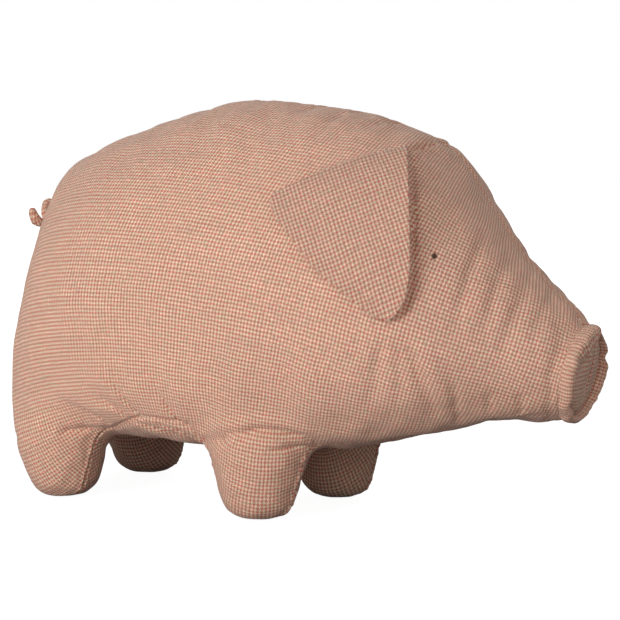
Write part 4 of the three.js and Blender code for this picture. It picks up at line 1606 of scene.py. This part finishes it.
def outwards(turn, rise):
    """The way from the pig to what stands at a turn round it and a height as an angle."""
    return Vector((math.sin(turn) * math.cos(rise), -math.cos(turn) * math.cos(rise), math.sin(rise)))


def floor_finish(look):
    """A pale floor that the camera sees nearly white. Light that bounces off it sees a bright floor in front of the
    pig but a dark, warm one under and behind it: painted shade, which keeps the far legs dark.
    """
    paint = Finish("pig_floor", Roughness=0.9, Specular_IOR_Level=0.1)
    place = paint.node("ShaderNodeTexCoord", {}, (), "Object")
    far = paint.node("ShaderNodeVectorMath", {"operation": "LENGTH"}, (place,), "Value")
    speck = paint.noise(place, 30.0, 3.0)
    plain = paint.blend(speck * 0.2, colour(look.floor), colour([c * 0.99 for c in look.floor]))
    seen = paint.node("ShaderNodeLightPath", {}, (), "Is Camera Ray")
    across = paint.node("ShaderNodeSeparateXYZ", {}, (place,), 1)
    open_floor = (across * -8.0 - 0.3).maths("MAXIMUM", 0.0).maths("MINIMUM", 1.0)
    # Painted shade: under and behind the pig the floor that bounces see is dark and warm.
    shaded, bright = colour(look.bounce_under), colour([c * look.bounce for c in look.floor])
    paint.feed(Base_Color=paint.blend(seen, paint.blend(open_floor, shaded, bright), plain))
    white = paint.node("ShaderNodeEmission", {}, {"Color": (1, 1, 1, 1), "Strength": 1.28})
    fade = seen * (far * 1.1 - 0.05).maths("MINIMUM", 1.0).maths("MAXIMUM", 0.74)
    lit = Wire(paint, paint.shader.outputs[0])
    mixed = paint.node("ShaderNodeMixShader", {}, {0: fade, 1: lit, 2: white})
    output = next(n for n in paint.tree.nodes if n.type == "OUTPUT_MATERIAL")
    paint.tree.links.new(mixed.socket, output.inputs["Surface"])
    return paint.material


def studio_world(look):
    """Even light from all round, which the camera sees as white."""
    world = bpy.data.worlds.new("studio")
    world.use_nodes = True
    tree = world.node_tree
    dim = next(n for n in tree.nodes if n.type == "BACKGROUND")
    white, mix = tree.nodes.new("ShaderNodeBackground"), tree.nodes.new("ShaderNodeMixShader")
    for node, tint, strength in ((dim, (1.0, 0.99, 0.985, 1), look.fill), (white, (1, 1, 1, 1), 1.0)):
        node.inputs["Color"].default_value = tint
        node.inputs["Strength"].default_value = strength
    seen = tree.nodes.new("ShaderNodeLightPath")
    output = next(n for n in tree.nodes if n.type == "OUTPUT_WORLD")
    tree.links.new(seen.outputs["Is Camera Ray"], mix.inputs[0])
    tree.links.new(dim.outputs[0], mix.inputs[1])
    tree.links.new(white.outputs[0], mix.inputs[2])
    tree.links.new(mix.outputs[0], output.inputs["Surface"])
    return world


class PIG_OT_stage(bpy.types.Operator):
    """Sets up the floor, the lamps and the camera"""

    bl_idname = "pig.stage"
    bl_label = "Set Up Stage"

    def execute(self, context):
        look = context.scene.pig_stage
        scene = context.scene
        bm = bmesh.new()
        bmesh.ops.create_circle(bm, cap_ends=True, segments=96, radius=6)
        floor = object_from(bm, "floor")
        floor.data.materials.append(floor_finish(look))
        scene.world = studio_world(look)

        middle = Vector((0.0, 0.0, 0.14))
        key_place = middle + outwards(look.key_azimuth, look.key_elevation) * 1.8
        add_lamp("key", key_place, middle, 0.4, 0.4, look.key)
        add_lamp("softbox", Vector((0.5, -2.0, 1.1)), middle, 2.2, 0.9, look.softbox)
        add_lamp("backlight", Vector((-0.8, 2.0, 0.6)), middle, 1.6, 0.8, look.backlight)

        view = bpy.data.cameras.new("camera")
        view.sensor_width, view.lens = 36, look.lens
        view.clip_start, view.clip_end = 0.01, 50
        camera = bpy.data.objects.new("camera", view)
        scene.collection.objects.link(camera)
        back_out = outwards(look.azimuth, look.elevation)
        camera.rotation_mode = "QUATERNION"
        camera.location = CAMERA_TARGET + back_out * look.distance
        camera.rotation_quaternion = (-back_out).to_track_quat("-Z", "Y")
        scene.camera = camera
        scene.view_settings.view_transform = "Standard"
        return {"FINISHED"}


class PIG_PT_sewing(bpy.types.Panel):
    """Lists the steps that sew the pig and the sizes that they use"""

    bl_label = "Sewn Pig"
    bl_idname = "PIG_PT_sewing"
    bl_space_type = "VIEW_3D"
    bl_region_type = "UI"
    bl_category = "Sewn Pig"

    def draw(self, context):
        layout = self.layout
        for step, group in STEPS:
            column = layout.column(align=True)
            column.operator(step.bl_idname)
            if group:
                look = getattr(context.scene, group)
                for name in look.bl_rna.properties.keys():
                    if name not in ("rna_type", "name"):
                        column.prop(look, name)


STEPS = [
    (PIG_OT_cloth, "pig_cloth"),
    (PIG_OT_stuffing, None),
    (PIG_OT_ears, "pig_ears"),
    (PIG_OT_snout, "pig_snout"),
    (PIG_OT_eyes, "pig_eyes"),
    (PIG_OT_tail, "pig_tail"),
    (PIG_OT_stage, "pig_stage"),
]
GROUPS = {
    "pig_cloth": PigCloth,
    "pig_ears": PigEars,
    "pig_snout": PigSnout,
    "pig_eyes": PigEyes,
    "pig_tail": PigTail,
    "pig_stage": PigStage,
}
CLASSES = [*GROUPS.values(), *[step for step, _ in STEPS], PIG_PT_sewing]


def register():
    for cls in CLASSES:
        bpy.utils.register_class(cls)
    for name, group in GROUPS.items():
        setattr(bpy.types.Scene, name, PointerProperty(type=group))


def unregister():
    for name in GROUPS:
        delattr(bpy.types.Scene, name)
    for cls in reversed(CLASSES):
        bpy.utils.unregister_class(cls)


def main():
    register()
    for step, _ in STEPS:
        group, action = step.bl_idname.split(".")
        if getattr(getattr(bpy.ops, group), action)() != {"FINISHED"}:
            raise RuntimeError(f"{step.bl_label} didn't finish")


if __name__ == "__main__":
    main()
